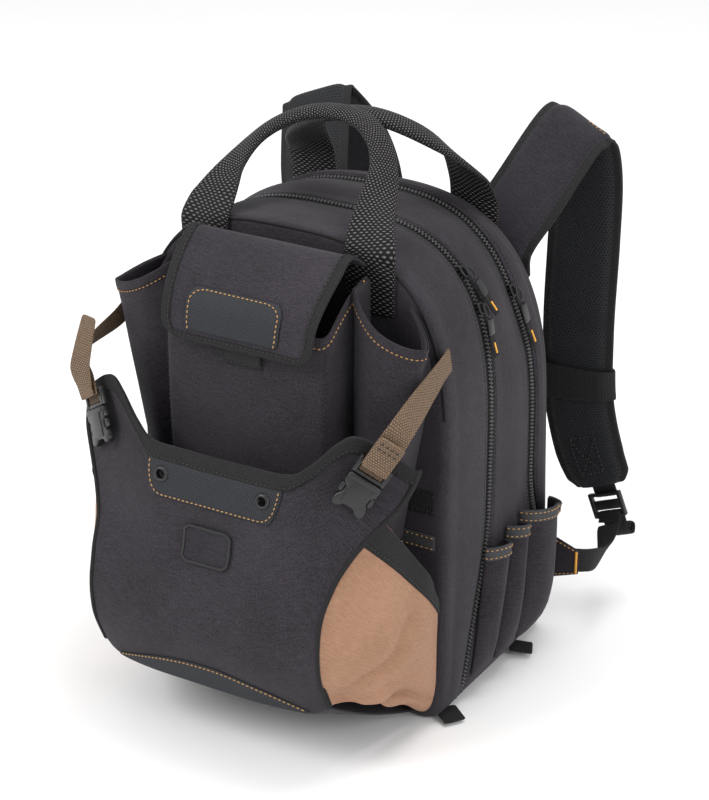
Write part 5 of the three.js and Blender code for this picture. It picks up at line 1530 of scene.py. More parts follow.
def gusset_creases(p, down, over):
    """Folds that fan out from the lower front corner, with soft dents above them."""
    fan = math.atan2(1.02 - down, over + 0.03)
    warp = noise.noise(Vector((over * 3, down * 3, 1.5)))
    across = math.sin(math.pi * clamp(over)) ** 0.7
    sharp = abs(math.sin(fan * 7 + warp * 2.4)) ** 0.7 - 0.6
    soft = noise.noise(Vector((over * 2.6, down * 4.2, 4.0)))
    hollow = math.exp(-((down - 0.93) / 0.08) ** 2 - ((over - 0.22) / 0.16) ** 2)
    valley = (1 - abs(math.sin(fan * 4.2 + warp * 1.6))) ** 2.2 * smooth((down - 0.1) / 0.5)
    waves = 2.4 * sharp * smooth((down - 0.2) / 0.6) + 5.5 * soft * (1 - 0.5 * down)
    return across * (waves - 13 * valley) - 9 * hollow


GUSSET_FACE = Face(lambda d, o: beside_pouch(gusset_place(d, o)), gusset_creases, CLOTH)


def piping_rings(side, radius, outward, behind):
    """A cord beside the panel's edge: outward and behind place its middle from that edge."""
    rings = []
    for down in [k / 60 for k in range(61)]:
        x, z = panel_spot(down, 1)
        ahead = panel_spot(min(down + 0.03, 1), 1)
        before = panel_spot(max(down - 0.03, 0), 1)
        along = Vector((ahead[0] - before[0], 0, ahead[1] - before[1])).normalized()
        aside = Vector((-along.z, 0, along.x))
        centre = Vector((x, panel_y(x, z) - panel_sag(x, z) + behind, z)) + aside * outward
        ring = []
        for a in turns_round(10):
            p = centre + aside * (radius * math.cos(a)) + Vector((0, radius * math.sin(a), 0))
            ring.append(p if side > 0 else flip(p))
        rings.append(ring)
    return rings


def pouch_floor_place(down, over):
    u = 2 * over - 1
    back_x = half_width(GUSSET_FOOT_Z, FRONT_Y, EDGE_RADIUS) - 2 * GAP
    x, z = panel_spot(1, 0.97 * u)
    front = Vector((x, panel_y(x, z) + CLOTH + GAP, z + CLOTH))
    back = Vector((back_x * 0.96 * u, FRONT_Y - GAP, GUSSET_FOOT_Z - 4))
    return front.lerp(back, down) + Vector((0, 0, -6 * math.sin(math.pi * down)))


def make_gussets():
    for side, label in SIDES:
        face = GUSSET_FACE if side > 0 else GUSSET_FACE.mirrored()
        piece = cloth_piece("pouch_gusset_" + label + "_cloth", face, shares(54), shares(44), CLOTH)
        dress(piece, TAN_CLOTH, "pouch_gusset_" + label)
        edge = [(0.0, o) for o in shares(20)]
        inner = [(0.115, o) for o in shares(20)]
        name = "gusset_binding_" + label
        tape = tape_along(name + "_tape", face, edge, inner, 1.4, BINDING, name)
        sew(name + "_seam", [tape.line([(0.85, 0), (0.85, 1)], 0.2, 0.02)], DARK_THREAD)
        fore = ring_piece("piping_" + label + "_cord", piping_rings(side, *FORE_CORD))
        dress(fore, BINDING, "piping_" + label)
        aft = ring_piece("piping_" + label + "_back_cord", piping_rings(side, *AFT_CORD))
        dress(aft, BINDING)
    floor = Face(pouch_floor_place, None, 0, HUB + Vector((0, -120, 200)))
    piece = cloth_piece("pouch_bottom_cloth", floor, shares(20), shares(40), CLOTH)
    dress(piece, CHARCOAL, "pouch_bottom")


# Hard parts are drawn up from a flat rim and rounded

def slab(name, rim, thick, frame_matrix, rounding=0.8, base=0.0):
    """A flat moulded part: its rim in its own frame, thick along the frame's third axis."""
    bpy.ops.object.select_all(action="DESELECT")
    bpy.ops.mesh.primitive_circle_add(vertices=len(rim), radius=MM, fill_type="NGON", location=(0, 0, 0))
    piece = bpy.context.active_object
    piece.name = piece.data.name = name
    for corner, (x, y) in zip(piece.data.vertices, rim):
        corner.co = Vector((x, y, base)) * MM
    for spot in piece.data.uv_layers["UVMap"].data:
        spot.uv = (0, 0)
    bpy.ops.object.mode_set(mode="EDIT")
    bpy.ops.mesh.select_all(action="SELECT")
    bpy.ops.mesh.extrude_region_move(TRANSFORM_OT_translate={"value": (0, 0, thick * MM)})
    turn_faces_out()
    place = frame_matrix.copy()
    place.translation = place.translation * MM
    edges = piece.modifiers.new("edges", "BEVEL")
    edges.width = rounding * MM
    edges.segments = 3
    edges.limit_method = "ANGLE"
    edges.angle_limit = math.radians(35)
    apply_modifiers(piece)
    piece.data.transform(place)
    activate(piece)
    bpy.ops.object.shade_smooth()
    bpy.ops.object.shade_smooth_by_angle(angle=math.radians(35))
    return piece


def join(name, pieces):
    bpy.ops.object.select_all(action="DESELECT")
    for piece in pieces:
        piece.select_set(True)
    bpy.context.view_layer.objects.active = pieces[0]
    bpy.ops.object.join()
    pieces[0].name = name
    tidy_mesh(pieces[0])
    bpy.ops.object.shade_smooth_by_angle(angle=math.radians(35))
    return pieces[0]


def rect(x0, x1, y0, y1):
    return [(x0, y0), (x1, y0), (x1, y1), (x0, y1)]


def basis(across, along, out, at):
    made = Matrix((across, along, out)).transposed().to_4x4()
    made.translation = at
    return made


def mirror_object(piece, name):
    """A mirror image of a finished piece in the bag's middle plane, with its own mesh."""
    copy = piece.copy()
    copy.data = piece.data.copy()
    copy.name = name
    bpy.context.scene.collection.objects.link(copy)
    copy.data.transform(Matrix.Diagonal((-1, 1, 1, 1)))
    copy.data.flip_normals()
    return copy


def buckle_frame():
    x, z, step = BUCKLE_X, BUCKLE_Z, BUCKLE_LENGTH / 2
    slope_x = (panel_y(x + step, z) - panel_y(x - step, z)) / (2 * step)
    slope_z = (panel_y(x, z + step) - panel_y(x, z - step)) / (2 * step)
    out = Vector((slope_x, -1, slope_z)).normalized()
    along = Vector((0.5, 0, 0.74))
    along = (along - out * along.dot(out)).normalized()
    across = along.cross(out)
    return basis(across, along, out, Vector((x, panel_y(x, z), z)) + out * BUCKLE_LIFT)


BUCKLE = buckle_frame()


def on_buckle(across, along, out):
    return BUCKLE @ Vector((across, along, out))


BUCKLE_ACROSS = BUCKLE.to_3x3() @ Vector((1, 0, 0))


def make_buckle():
    """The buckles: a housing with the clip's prongs in its side windows, and a clip of rails and bars."""
    w = BUCKLE_WIDTH / 2
    low = -BUCKLE_LENGTH
    neck = w - 4
    half = [(0.3 * w, low + 5), (0.55 * w, low + 1), (0.8 * w, low), (w, low + 3), (w - 0.6, low + 9),
            (neck, 0.66 * low + 3), (neck, 0.3 * low - 3), (w, 0.3 * low), (w, -2), (w - 1, 0)]
    rim = half + [(-x, y) for x, y in reversed(half)]
    body = slab("housing_body", rim, BUCKLE_THICK - 1.5, BUCKLE, 1.4)
    spine = rect(-neck + 3, neck - 3, 0.8 * low, 0.12 * low)
    ridge = slab("housing_ridge", spine, 1.4, BUCKLE, 0.6, BUCKLE_THICK - 2)
    lip = slab("housing_lip", rect(-w + 1, w - 1, -5, -0.6), 1.6, BUCKLE, 0.7, BUCKLE_THICK - 2)
    prongs = []
    for side in (-1, 1):
        prong = [
            (side * (neck + 0.6), 0.62 * low), (side * (w + 0.2), 0.6 * low), (side * (w + 0.9), 0.48 * low),
            (side * w, 0.36 * low), (side * (neck + 0.6), 0.34 * low),
        ]
        prong = prong if side > 0 else prong[::-1]
        prongs.append(slab("prong", prong, 4, BUCKLE, 0.6, 2))
    housing = join("buckle_housing_right_body", [body, ridge, lip, *prongs])
    rails = [slab("rail", rect(x, x + CLIP_RAIL, GAP, CLIP_LENGTH), CLIP_THICK, BUCKLE, 0.9)
             for x in (-w, w - CLIP_RAIL)]
    bars_made = [slab("bar", rect(-w + 1, w - 1, y0, y1), CLIP_THICK - 1, BUCKLE, 0.9, 0.5)
                 for y0, y1 in ((GAP, 4.2), (SLOT_HIGH + 0.4, CLIP_LENGTH - 0.2))]
    middle = slab("middle_bar", rect(-w + 1, w - 1, SLOT_LOW - 3.4, SLOT_LOW - 0.2), 2.6, BUCKLE, 0.8, 0.4)
    clip = join("buckle_clip_right_body", [*rails, *bars_made, middle])
    for piece, node in ((housing, "buckle_housing"), (clip, "buckle_clip")):
        copy = mirror_object(piece, node + "_left_body")
        dress(piece, BLACK_PLASTIC, node + "_right")
        dress(copy, BLACK_PLASTIC, node + "_left")


def tan_strap_band():
    seam_y = FRONT_Y + EDGE_RADIUS
    seam_x = half_width(TAN_SEAM_Z - TAN_WIDTH / 2, seam_y) + FRONT_PUFF / 2
    slot = (SLOT_LOW + SLOT_HIGH) / 2
    over = CLIP_THICK + TAN_THICK / 2 + GAP
    row = lambda at, across: (at, across, TAN_WIDTH, TAN_THICK)
    return Band([
        row(Vector((seam_x, seam_y, TAN_SEAM_Z + 2)), Vector((0, 0.3, -1))),
        row(Vector((seam_x + 1, seam_y - 16, TAN_SEAM_Z - 2)), Vector((0, 0.3, -1))),
        row(Vector((seam_x + 2, TOOL_POCKET_CORNER_Y - 4, TAN_SEAM_Z - 11)), Vector((0.2, 0.5, -1))),
        row(on_buckle(0, CLIP_LENGTH + 36, over), Vector((0.6, 0.5, -0.7))),
        row(on_buckle(0, CLIP_LENGTH + 12, over), BUCKLE_ACROSS),
        row(on_buckle(0, slot, over), BUCKLE_ACROSS),
    ])


def strap_tails():
    over = CLIP_THICK + 2 * TAN_THICK + 2 * GAP
    doubled = lambda along, out: (on_buckle(0, along, out + 1), BUCKLE_ACROSS, TAN_WIDTH, 2 * TAN_THICK)
    single = lambda at, across: (at, across, TAN_WIDTH, TAN_THICK)
    places = [(-6, over), (8, over), (26, over + 3)]
    right = Band([doubled(CLIP_LENGTH + along, out) for along, out in places])
    bend = on_buckle(0, CLIP_LENGTH + 4, over + 1.5)
    left = Band([
        single(on_buckle(0, CLIP_LENGTH - 7, over), BUCKLE_ACROSS),
        single(bend, BUCKLE_ACROSS),
        single(bend + Vector((3, -1, 17)), Vector((0.92, 0.1, -0.3))),
        single(bend + Vector((2, 4, 38)), Vector((0.95, 0.3, -0.05))),
        single(bend + Vector((1, 14, 64)), Vector((0.9, 0.5, 0.05))),
    ])
    return right, left.mirrored()


def make_tan_straps():
    band = tan_strap_band()
    right, left = strap_tails()
    for name, run, steps in (
        ("tan_strap_right", band, 40), ("tan_strap_left", band.mirrored(), 40),
        ("strap_tail_right", right, 14), ("strap_tail_left", left, 24),
    ):
        webbing_piece(name + "_webbing", run, steps, TAN_WEB, name)
    rows = [right.line([(s, -0.8), (s, 0.8)], 1, 0.3) for s in (0.72, 0.86)]
    sew("strap_tail_right_seam", rows, DARK_THREAD)
    w = TAN_WIDTH / 2 - 1
    window = slab("clip_webbing", rect(-w, w, 4.6, SLOT_HIGH + 0.2), 1.8, BUCKLE, 0.5, 3.0)
    copy = mirror_object(window, "clip_webbing_left")
    window.name = "clip_webbing_right"
    dress(window, TAN_WEB)
    dress(copy, TAN_WEB)


# Handles

FRONT_HANDLE_RUN = [
    (-86, FRONT_HANDLE_FACE, 404, 0, 0), (-86, FRONT_HANDLE_FACE, 426, 0, 0),
    (-86, FRONT_HANDLE_FACE, 447, 0, 0),
    (-86, FRONT_HANDLE_FACE, 460, 0, 0), (-84, -90, 478, 0.05, -8), (-82, -66, 497, 0.4, -35),
    (-62, -38, 527, 0.9, -70), (-33, -23, 544, 1, -85), (-3, -13, 549, 1, -90), (26, -13, 545, 1, -92),
    (49, -23, 532, 1, -98), (64, -40, 513, 0.95, -112), (72, -66, 492, 0.7, -145), (80, -90, 475, 0.3, -172),
    (86, FRONT_HANDLE_FACE, 460, 0, -180), (86, FRONT_HANDLE_FACE, 447, 0, -180),
    (86, FRONT_HANDLE_FACE, 426, 0, -180), (86, FRONT_HANDLE_FACE, 404, 0, -180),
]


def rear_face(z):
    return back_y(z) - GAP + HANDLE_THICK / 2


REAR_HANDLE_RUN = [
    (-92, rear_face(406), 406, 0, -180), (-92, rear_face(424), 424, 0, -180),
    (-92, rear_face(445) + GAP, 445, 0, -180), (-92, 94, 466, 0.1, -170), (-86, 75, 489, 0.4, -140),
    (-62, 50, 514, 0.9, -110), (-22, 27, 533, 1, -90), (18, 21, 539, 1, -88), (52, 36, 526, 0.9, -70),
    (76, 62, 501, 0.4, -40), (82, 86, 474, 0.1, -12), (83, rear_face(447) + GAP, 447, 0, 0),
    (83, rear_face(422), 422, 0, 0), (83, rear_face(402), 402, 0, 0),
]


def handle_band(run):
    rows = []
    for x, y, z, grip, turn in run:
        a = math.radians(turn)
        across = Vector((math.cos(a), math.sin(a), 0))
        width = lerp(HANDLE_WIDTH, GRIP_WIDTH, grip)
        rows.append((Vector((x, y, z)), across, width, lerp(HANDLE_THICK, GRIP_THICK, grip)))
    return Band(rows)


def handle_ring(frame):
    """The webbing's section: flat at the feet, rolled on itself at the grip with its edge showing."""
    roll = clamp((frame["thick"] - HANDLE_THICK) / (GRIP_THICK - HANDLE_THICK))
    power = lerp(7.0, 2.1, roll**0.6)
    ring = []
    for turn in turns_round(36):
        over, up = rounded_flat(turn, power)
        seam = 1 - 0.16 * roll * math.exp(-(((turn - 4.4) % (2 * math.pi)) / 0.35) ** 2)
        ring.append(in_section(frame, over * seam, up * seam))
    return ring


def make_handles():
    for name, run in (("front_handle", FRONT_HANDLE_RUN), ("rear_handle", REAR_HANDLE_RUN)):
        band = handle_band(run)
        rings = [handle_ring(band.frame(s)) for s in shares(110)]
        piece = ring_piece(name + "_webbing", rings)
        dress(piece, WEBBING, name)


# Shoulder straps

STRAP_FOOT_Y = back_y(STRAP_FOOT_Z) + 7 * GAP + HANDLE_THICK + STRAP_PAD / 2
STRAP_RISE_Z = 403


def strap_band(fold_z, lean):
    bend_y, bend_z = STRAP_HANG_Y - STRAP_BEND, fold_z - STRAP_BEND

    def bend(degrees, x):
        turn = math.radians(degrees)
        return (x, bend_y + STRAP_BEND * math.sin(turn), bend_z + STRAP_BEND * math.cos(turn), 0.39, 0.24, 1)

    rows = [
        (100, STRAP_FOOT_Y, STRAP_FOOT_Z, 0.3, 0, 0.94),
        (101, STRAP_FOOT_Y, STRAP_RISE_Z, 0.34, 0, 0.96),
        (118, lerp(STRAP_FOOT_Y, STRAP_HANG_Y, 0.3), lerp(STRAP_RISE_Z, fold_z, 0.42), 0.39, 0.15, 1),
        bend(-45, 140), bend(0, 144), bend(45, 146), bend(90, 147 - 0.06 * lean),
        (150 - 0.75 * lean, STRAP_HANG_Y + 2, fold_z - 50, 0.25, 0.12, 1),
        (149 - lean, STRAP_HANG_Y + 1, 380, 0.05, 0, 1),
        (148 - 0.6 * lean, STRAP_HANG_Y, 290, 0, 0, 1),
        (152 - 0.15 * lean, STRAP_HANG_Y, 215, 0.05, 0, 1),
        (166, STRAP_HANG_Y, 160, -0.2, 0, 1),
        (177, STRAP_HANG_Y, STRAP_LOW_Z + 10, -0.3, 0, 0.93),
        (181, STRAP_HANG_Y, STRAP_LOW_Z, -0.3, 0, 0.7),
    ]
    return Band([(Vector((x, y, z)), Vector((1, -swing, -tilt)), STRAP_WIDTH * wide, STRAP_PAD)
                 for x, y, z, tilt, swing, wide in rows])


RIGHT_STRAP = strap_band(RIGHT_FOLD_Z, 0)
LEFT_STRAP = strap_band(LEFT_FOLD_Z, LEFT_LEAN).mirrored()

# Half of a strap's section, from its bound edge to its middle: over, up, and the finish there
CLOTH_PART, MESH_PART, TAPE_PART = 0, 1, 2
PAD_HALF = [
    (1.0, 0.16, TAPE_PART), (1.0, 0.24, TAPE_PART), (0.9, 0.33, TAPE_PART), (0.79, 0.36, TAPE_PART),
    (0.75, 0.62, CLOTH_PART), (0.66, 0.86, CLOTH_PART), (0.5, 0.97, CLOTH_PART), (0.25, 1.0, CLOTH_PART),
    (0.0, 1.0, CLOTH_PART),
]


def pad_section():
    """The strap's whole section and each strip's finish: cloth outside, mesh inside, tape at the edges."""
    upper = PAD_HALF + [(-over, up, part) for over, up, part in reversed(PAD_HALF[:-1])]
    lower = [(-over, -up, part if part == TAPE_PART else MESH_PART) for over, up, part in upper]
    section = upper + lower
    parts = []
    for k, (over, up, part) in enumerate(section):
        following = section[(k + 1) % len(section)]
        inner = min(abs(over), abs(following[0])) < 0.78
        parts.append((CLOTH_PART if up > 0 else MESH_PART) if inner else TAPE_PART)
    return [(over, up) for over, up, _ in section], parts


def pad_ring(frame, section, share, seams):
    """A section round a frame, pressed in where a seam crosses the pad and crowned between seams."""
    press = sum(math.exp(-((share - s) / 0.006) ** 2) for s in seams)
    ring = []
    for over, up in section:
        soft = 1 - 0.5 * press * max(0.0, 1 - abs(over)) ** 0.3 if abs(up) > 0.4 else 1.0
        wave = 0.035 * noise.noise(Vector((over * 2.5, share * 26, math.copysign(3.0, up))))
        lift = up * (soft + (wave if abs(up) > 0.4 else 0))
        ring.append(in_section(frame, over, lift))
    return ring


def make_strap(label, band):
    section, parts = pad_section()
    low_seam = band.share_at(STRAP_SEAM_Z)
    rings = [pad_ring(band.frame(s), section, s, (low_seam,)) for s in shares(150)]
    piece = ring_piece("shoulder_strap_" + label + "_pad", rings, parts)
    dress(piece, [STRAP_CLOTH, SPACER, BINDING], "shoulder_strap_" + label)
    edges = [band.line([(0.02, o), (0.985, o)], up, 0.1) for o in (-0.8, 0.8) for up in (0.34, -0.34)]
    sew("shoulder_strap_" + label + "_seams", edges, DARK_THREAD)
    start, end = [band.share_at(STRAP_LOW_Z + rise) for rise in BOX_SEAM_RISE]
    w = BOX_SEAM_HALF
    box_route = [(start, -w), (end, -w), (end, w), (start, w), (start, -w), (end, w)]
    cross = [(start, w), (end, -w)]
    lines = [band.line(route, up, 0.3, 0.003) for route in (box_route, cross) for up in (-1, 1)]
    sew("shoulder_strap_" + label + "_box_seam", lines, DARK_THREAD, width=1.3)
    mark = band.line([(STRAP_MARK, 0.1), (STRAP_MARK + 0.006, 0.75)], 1, 0.3)
    sew("shoulder_strap_" + label + "_mark", [mark], TAN_THREAD)


def make_keeper(label, band):
    """A loop of ribbed webbing round the strap."""
    low, high = KEEPER_Z - KEEPER_HEIGHT / 2, KEEPER_Z + KEEPER_HEIGHT / 2
    section = [(1, 0.27), (0.87, 0.6), (0.74, 1), (0.4, 1.02), (0, 1.03)]
    section += [(-0.4, 1.02), (-0.74, 1), (-0.87, 0.6), (-1, 0.27)]
    section += [(x, -y) for x, y in reversed(section)]

    def ring(z, grow):
        f = band.frame(band.share_at(z))
        wide, thick = f["width"] / 2 + grow, f["thick"] / 2 + grow
        return [f["at"] + f["across"] * (x * wide) + f["out"] * (y * thick) for x, y in section]

    inner, outer = KEEPER_CLEAR, KEEPER_CLEAR + WEB_THICK
    heights = [lerp(low, high, k / 8) for k in range(9)]
    rings = [ring(low, inner)] + [ring(z, outer) for z in heights] + [ring(high, inner)]
    piece = ring_piece("strap_keeper_" + label + "_webbing", rings, joined=True)
    middle = rings[len(rings) // 2]
    declare_cloth(piece, distances(middle + middle[:1])[-1], KEEPER_HEIGHT)
    dress(piece, KEEPER_TAPE, "strap_keeper_" + label)


def lock_frame():
    end = RIGHT_STRAP.frame(1.0)
    along = -end["along"]
    out = Vector((0, 1, 0)) - along * along.y
    out.normalize()
    across = along.cross(out)
    return basis(across, along, out, end["at"] - along * (LOCK_HEIGHT / 2 + LOCK_DROP))


LOCK = lock_frame()
LOCK_ACROSS = LOCK.to_3x3() @ Vector((1, 0, 0))
SLOT_UP = LOCK_HEIGHT / 2 - LOCK_BAR - LOCK_SLOT / 2
SLOT_DOWN = -SLOT_UP
WEB_CLEAR = LOCK_THICK / 2 + WEB_THICK / 2 + GAP
TAB_MIDDLE = (TAB_TOP_Z + TAB_FOOT_Z) / 2
TAB_Y = back_y(TAB_MIDDLE) - 0.6 * EDGE_RADIUS
TAB_TIP_X = BAG_WIDTH / 2 + TAB_REACH


def on_lock(across, along, out):
    return LOCK @ Vector((across, along, out))


def make_lock():
    """The ladder lock: two rails, an upper bar, a ribbed middle bar and a lower bar."""
    w, h, t = LOCK_WIDTH / 2, LOCK_HEIGHT / 2, LOCK_THICK
    rails = [slab("rail", rect(x, x + LOCK_RAIL, -h, h), t, LOCK, 1.2, -t / 2) for x in (-w, w - LOCK_RAIL)]
    bar = lambda y0, y1, base, thick: slab("bar", rect(-w + 2, w - 2, y0, y1), thick, LOCK, 1.0, base)
    inner = h - LOCK_BAR - LOCK_SLOT
    pieces = [bar(h - LOCK_BAR, h, -t / 2, t), bar(-inner, inner, -t / 2 + 0.5, t - 1)]
    pieces.append(bar(-h, -h + LOCK_BAR, -t / 2, t))
    pieces += [bar(y, y + 1.2, t / 2 - 1, 1.2) for y in (-inner + 1, -0.6, inner - 2.2)]
    lock = join("ladder_lock_right_body", rails + pieces)
    copy = mirror_object(lock, "ladder_lock_left_body")
    dress(lock, BLACK_PLASTIC, "ladder_lock_right")
    dress(copy, BLACK_PLASTIC, "ladder_lock_left")


def web_row(at, across):
    return (at, across, WEB_WIDTH, WEB_THICK)


def end_web_band():
    start = LOCK_HEIGHT / 2 + LOCK_DROP - 2 * GAP
    return Band([
        web_row(on_lock(0, start, WEB_CLEAR - 0.5), LOCK_ACROSS),
        web_row(on_lock(0, LOCK_HEIGHT / 2, WEB_CLEAR), LOCK_ACROSS),
        web_row(on_lock(0, SLOT_UP, WEB_CLEAR), LOCK_ACROSS),
    ])


def lower_strap_band():
    bar = SLOT_DOWN - LOCK_SLOT / 2
    face_y = TAB_Y + WEB_THICK + 2 * GAP
    along, out, radius = -LOCK_HEIGHT / 2 - 17, WEB_CLEAR + 7, 7

    def curl(turn, size):
        return web_row(on_lock(0, along + size * math.cos(turn), out - size * math.sin(turn)), LOCK_ACROSS)

    rows = [
        web_row(Vector((TAB_TIP_X - 16, face_y, TAB_MIDDLE)), Vector((0, 0, 1))),
        web_row(Vector((TAB_TIP_X - 6, face_y, TAB_MIDDLE)), Vector((0, 0, 1))),
        web_row(Vector((TAB_TIP_X + 6, face_y + 9, TAB_MIDDLE - 1)), Vector((0.1, 0, 1))),
        web_row(Vector((TAB_TIP_X + 4, face_y + 46, TAB_MIDDLE - 12)), Vector((0.4, 0, 0.9))),
        web_row(on_lock(0, -LOCK_HEIGHT / 2 - 8, -14), Vector((0.9, 0, 0.4))),
        web_row(on_lock(0, bar - 3.5, -WEB_CLEAR), LOCK_ACROSS),
        web_row(on_lock(0, SLOT_DOWN - 1.6, -WEB_CLEAR + 0.6), LOCK_ACROSS),
        web_row(on_lock(0, SLOT_DOWN + 0.2, 0), LOCK_ACROSS),
        web_row(on_lock(0, SLOT_DOWN - 1.6, WEB_CLEAR - 0.6), LOCK_ACROSS),
        web_row(on_lock(0, bar - 4, WEB_CLEAR + 0.2), LOCK_ACROSS),
    ]
    sizes = (1, 1, 0.95, 0.75, 0.5)
    rows += [curl(math.pi * (0.5 + 0.5 * k), radius * share) for k, share in enumerate(sizes)]
    return Band(rows)


def tab_face():
    """The face of the triangular tab, a folded web sewn into the seam."""
    root = lambda z: half_width(z, TAB_Y) + 3 * GAP

    def place(down, over):
        z = lerp(TAB_TOP_Z, TAB_FOOT_Z, down)
        tip_z = TAB_MIDDLE + WEB_WIDTH / 2 * (1 - 2 * down)
        y = TAB_Y + WEB_THICK / 2
        return Vector((root(z), y, z)).lerp(Vector((TAB_TIP_X, y, tip_z)), over)

    return Face(place)


def make_lower_straps():
    face = tab_face()

    def stitch(own, down, over, facing, lift):
        """A place on the near or far side of a tab with its outward direction."""
        return own.point(down, over, lift), own.normal(down, facing) * math.copysign(1, lift)

    for side, label in SIDES:
        own = face if side > 0 else face.mirrored()
        lower = lower_strap_band() if side > 0 else lower_strap_band().mirrored()
        end = end_web_band() if side > 0 else end_web_band().mirrored()
        name = "lower_strap_" + label
        webbing_piece(name + "_webbing", lower, 130, KEEPER_TAPE, name)
        webbing_piece("end_web_" + label + "_webbing", end, 12, KEEPER_TAPE, "end_web_" + label)
        piece = cloth_piece("corner_tab_" + label + "_webbing", own, shares(12), shares(12), WEB_THICK)
        dress(piece, CHARCOAL, "corner_tab_" + label)
        seams = []
        for lift in (0.3, -WEB_THICK - 0.3):
            for down in (0.08, 0.92):
                seams.append([stitch(own, down, o, o, lift) for o in shares(20)])
        sew("corner_tab_" + label + "_seams", seams, TAN_THREAD)
        lifts = (0.5, -WEB_THICK - 0.5)
        tacks = [[stitch(own, d, 0.93, 0.9, lift) for d in (0.08, 0.5, 0.92)] for lift in lifts]
        bartack("corner_tab_" + label + "_tack", tacks)


# Side pockets

def side_x(z, y):
    front, rear, back = rim_y(front_zip_y, 1)(z), rear_zip_y(z), back_y(z) - EDGE_RADIUS
    share = clamp((y - front) / (rear - front))
    middle = SIDE_PUFF * math.sin(math.pi * share)
    behind = clamp((y - rear) / (back - rear))
    rear_puff = BACK_PUFF * min(4 * behind, 4 * (1 - behind), 1)
    return half_width(z, y) + (middle + rear_puff) * smooth(z / PUFF_START)


POCKET_BELLY = [(0, 1), (0.24, 1), (0.52, 0.94), (0.76, 0.75), (0.9, 0.48), (1, 0.12)]


def side_pocket_place(pocket):
    def place(down, over):
        rounding = math.sin(math.pi * clamp(over))
        z = lerp(lerp(*pocket["rim"], over) + 3 * rounding, SIDE_POCKET_FOOT, down)
        y = lerp(lerp(*pocket["top"], over), lerp(*pocket["foot"], over), down)
        belly = pocket["bulge"] * read(POCKET_BELLY, down) * rounding**0.6
        return Vector((side_x(z, y) + 2 * GAP + belly, y, z))
    return place


def side_pocket_creases(p, down, over):
    rounding = math.sin(math.pi * clamp(over))
    fold = swell(Vector((p.x / 40, p.y / 9, p.z / 70)))
    return -2.2 * fold * rounding * smooth((down - 0.12) / 0.3)


def make_side_pockets():
    for i, pocket in enumerate(SIDE_POCKETS):
        right = Face(side_pocket_place(pocket), side_pocket_creases, CLOTH)
        for label, face in (("right", right), ("left", right.mirrored())):
            name = "side_pocket_" + str(i + 1) + "_" + label
            overs = shares(22)
            dress(cloth_piece(name + "_cloth", face, shares(26), overs, CLOTH), CHARCOAL, name)
            height = pocket["rim"][0] - SIDE_POCKET_FOOT
            band = ELASTIC_HEIGHT / height
            edge = [(0.0, o) for o in shares(12)]
            inner = [(band, o) for o in shares(12)]
            tape_along(name + "_elastic", face, edge, inner, 1.1, ELASTIC)
            lines = [face.row(band * share, shares(30), 1.3) for share in (0.22, 0.8)]
            sew(name + "_seams", lines, TAN_THREAD)


# Zip sliders with their pulls

def off_zip(zip_y, z, out, aside=0.0):
    y = zip_y(z) + aside
    step = 4
    slope = (half_width(z + step, y) - half_width(z - step, y)) / (2 * step)
    normal = Vector((1, 0, -slope)).normalized()
    return Vector((half_width(z, y), y, z)) + normal * out, normal


def loop_rings(centre, along, across, out, long, wide, radius):
    """A round wire bent into a long loop."""
    rings = []
    for a in turns_round(28):
        hub = centre + along * (long / 2 * math.cos(a)) + across * (wide / 2 * math.sin(a))
        away = (along * math.cos(a) + across * math.sin(a)).normalized()
        rings.append([hub + away * (radius * math.cos(b)) + out * (radius * math.sin(b))
                      for b in turns_round(8)])
    return rings


SLIDERS = [
    ("front_upper", front_zip_y, 421, 44, 16),
    ("front_lower", front_zip_y, 390, 46, 0),
    ("rear", rear_zip_y, 384, 58, 0),
]


# Shares of a pull's run: where its tab starts, and where its webbing takes over
PULL_START = 0.3
PULL_SPLIT = 0.62
# Width and thickness of its tab and of its webbing
PULL_TAB = (9.8, 3.4)
PULL_WEB = (9.0, 2.0)


def make_slider(name, zip_y, z, length, aside):
    at, normal = off_zip(zip_y, z, GAP)
    along = Vector((-normal.z, 0, normal.x))
    across = along.cross(normal)
    place = basis(across, along, normal, at)
    half = [(0.5, 6), (4.6, 6), (4.9, 1), (3.4, -6), (0.5, -6)]
    rim = half + [(-x, y) for x, y in reversed(half)]
    body = slab("slider_body", rim, 3.0, place, 1.0, 0.4)
    bridge = slab("slider_bridge", rect(-1.3, 1.3, -4.6, 4.2), 2.6, place, 0.9, 3.0)
    piece = join("zip_slider_" + name + "_metal", [body, bridge])
    dress(piece, METAL, "zip_slider_" + name)
    rows = []
    for share in (0, 0.3, 0.65, 1):
        height = z + 2 - length * share
        off = lerp(5 + 2 * GAP + 1.5, 3, 1 if share > 0.5 else share)
        spot, _ = off_zip(zip_y, height, off + SIDE_PUFF * share, aside * share)
        rows.append((spot, Vector((0, 1, 0)), 9.5, 3.2))
    pull = Band(rows)
    f = pull.frame(0.12)
    loop = loop_rings(f["at"], f["along"], f["across"], f["out"], 13, 7.4, 0.95)
    ring = ring_piece("zip_loop_" + name, loop, joined=True)
    dress(ring, METAL)
    stops = [lerp(PULL_START, 1.0, share) for share in shares(24)]
    rings = []
    for s in stops:
        g = pull.frame(s)
        g["width"], g["thick"] = PULL_TAB if s < PULL_SPLIT else PULL_WEB
        rings.append(flat_ring(g, 5))
    cut = sum(s < PULL_SPLIT for s in stops)
    tab = ring_piece("zip_pull_" + name + "_tab", rings[:cut])
    dress(tab, BLACK_PLASTIC, "zip_pull_" + name)
    tail = ring_piece("zip_pull_" + name + "_webbing", rings[cut - 1:])
    dress(tail, KEEPER_TAPE)
    up = 1 if pull.frame(0.8)["out"].x > 0 else -1
    tack = pull.line([(0.74, 0.0), (0.93, 0.0)], 0.7 * up, 0.2, 0.02)
    bartack("zip_pull_" + name + "_tack", [tack], 2.4)


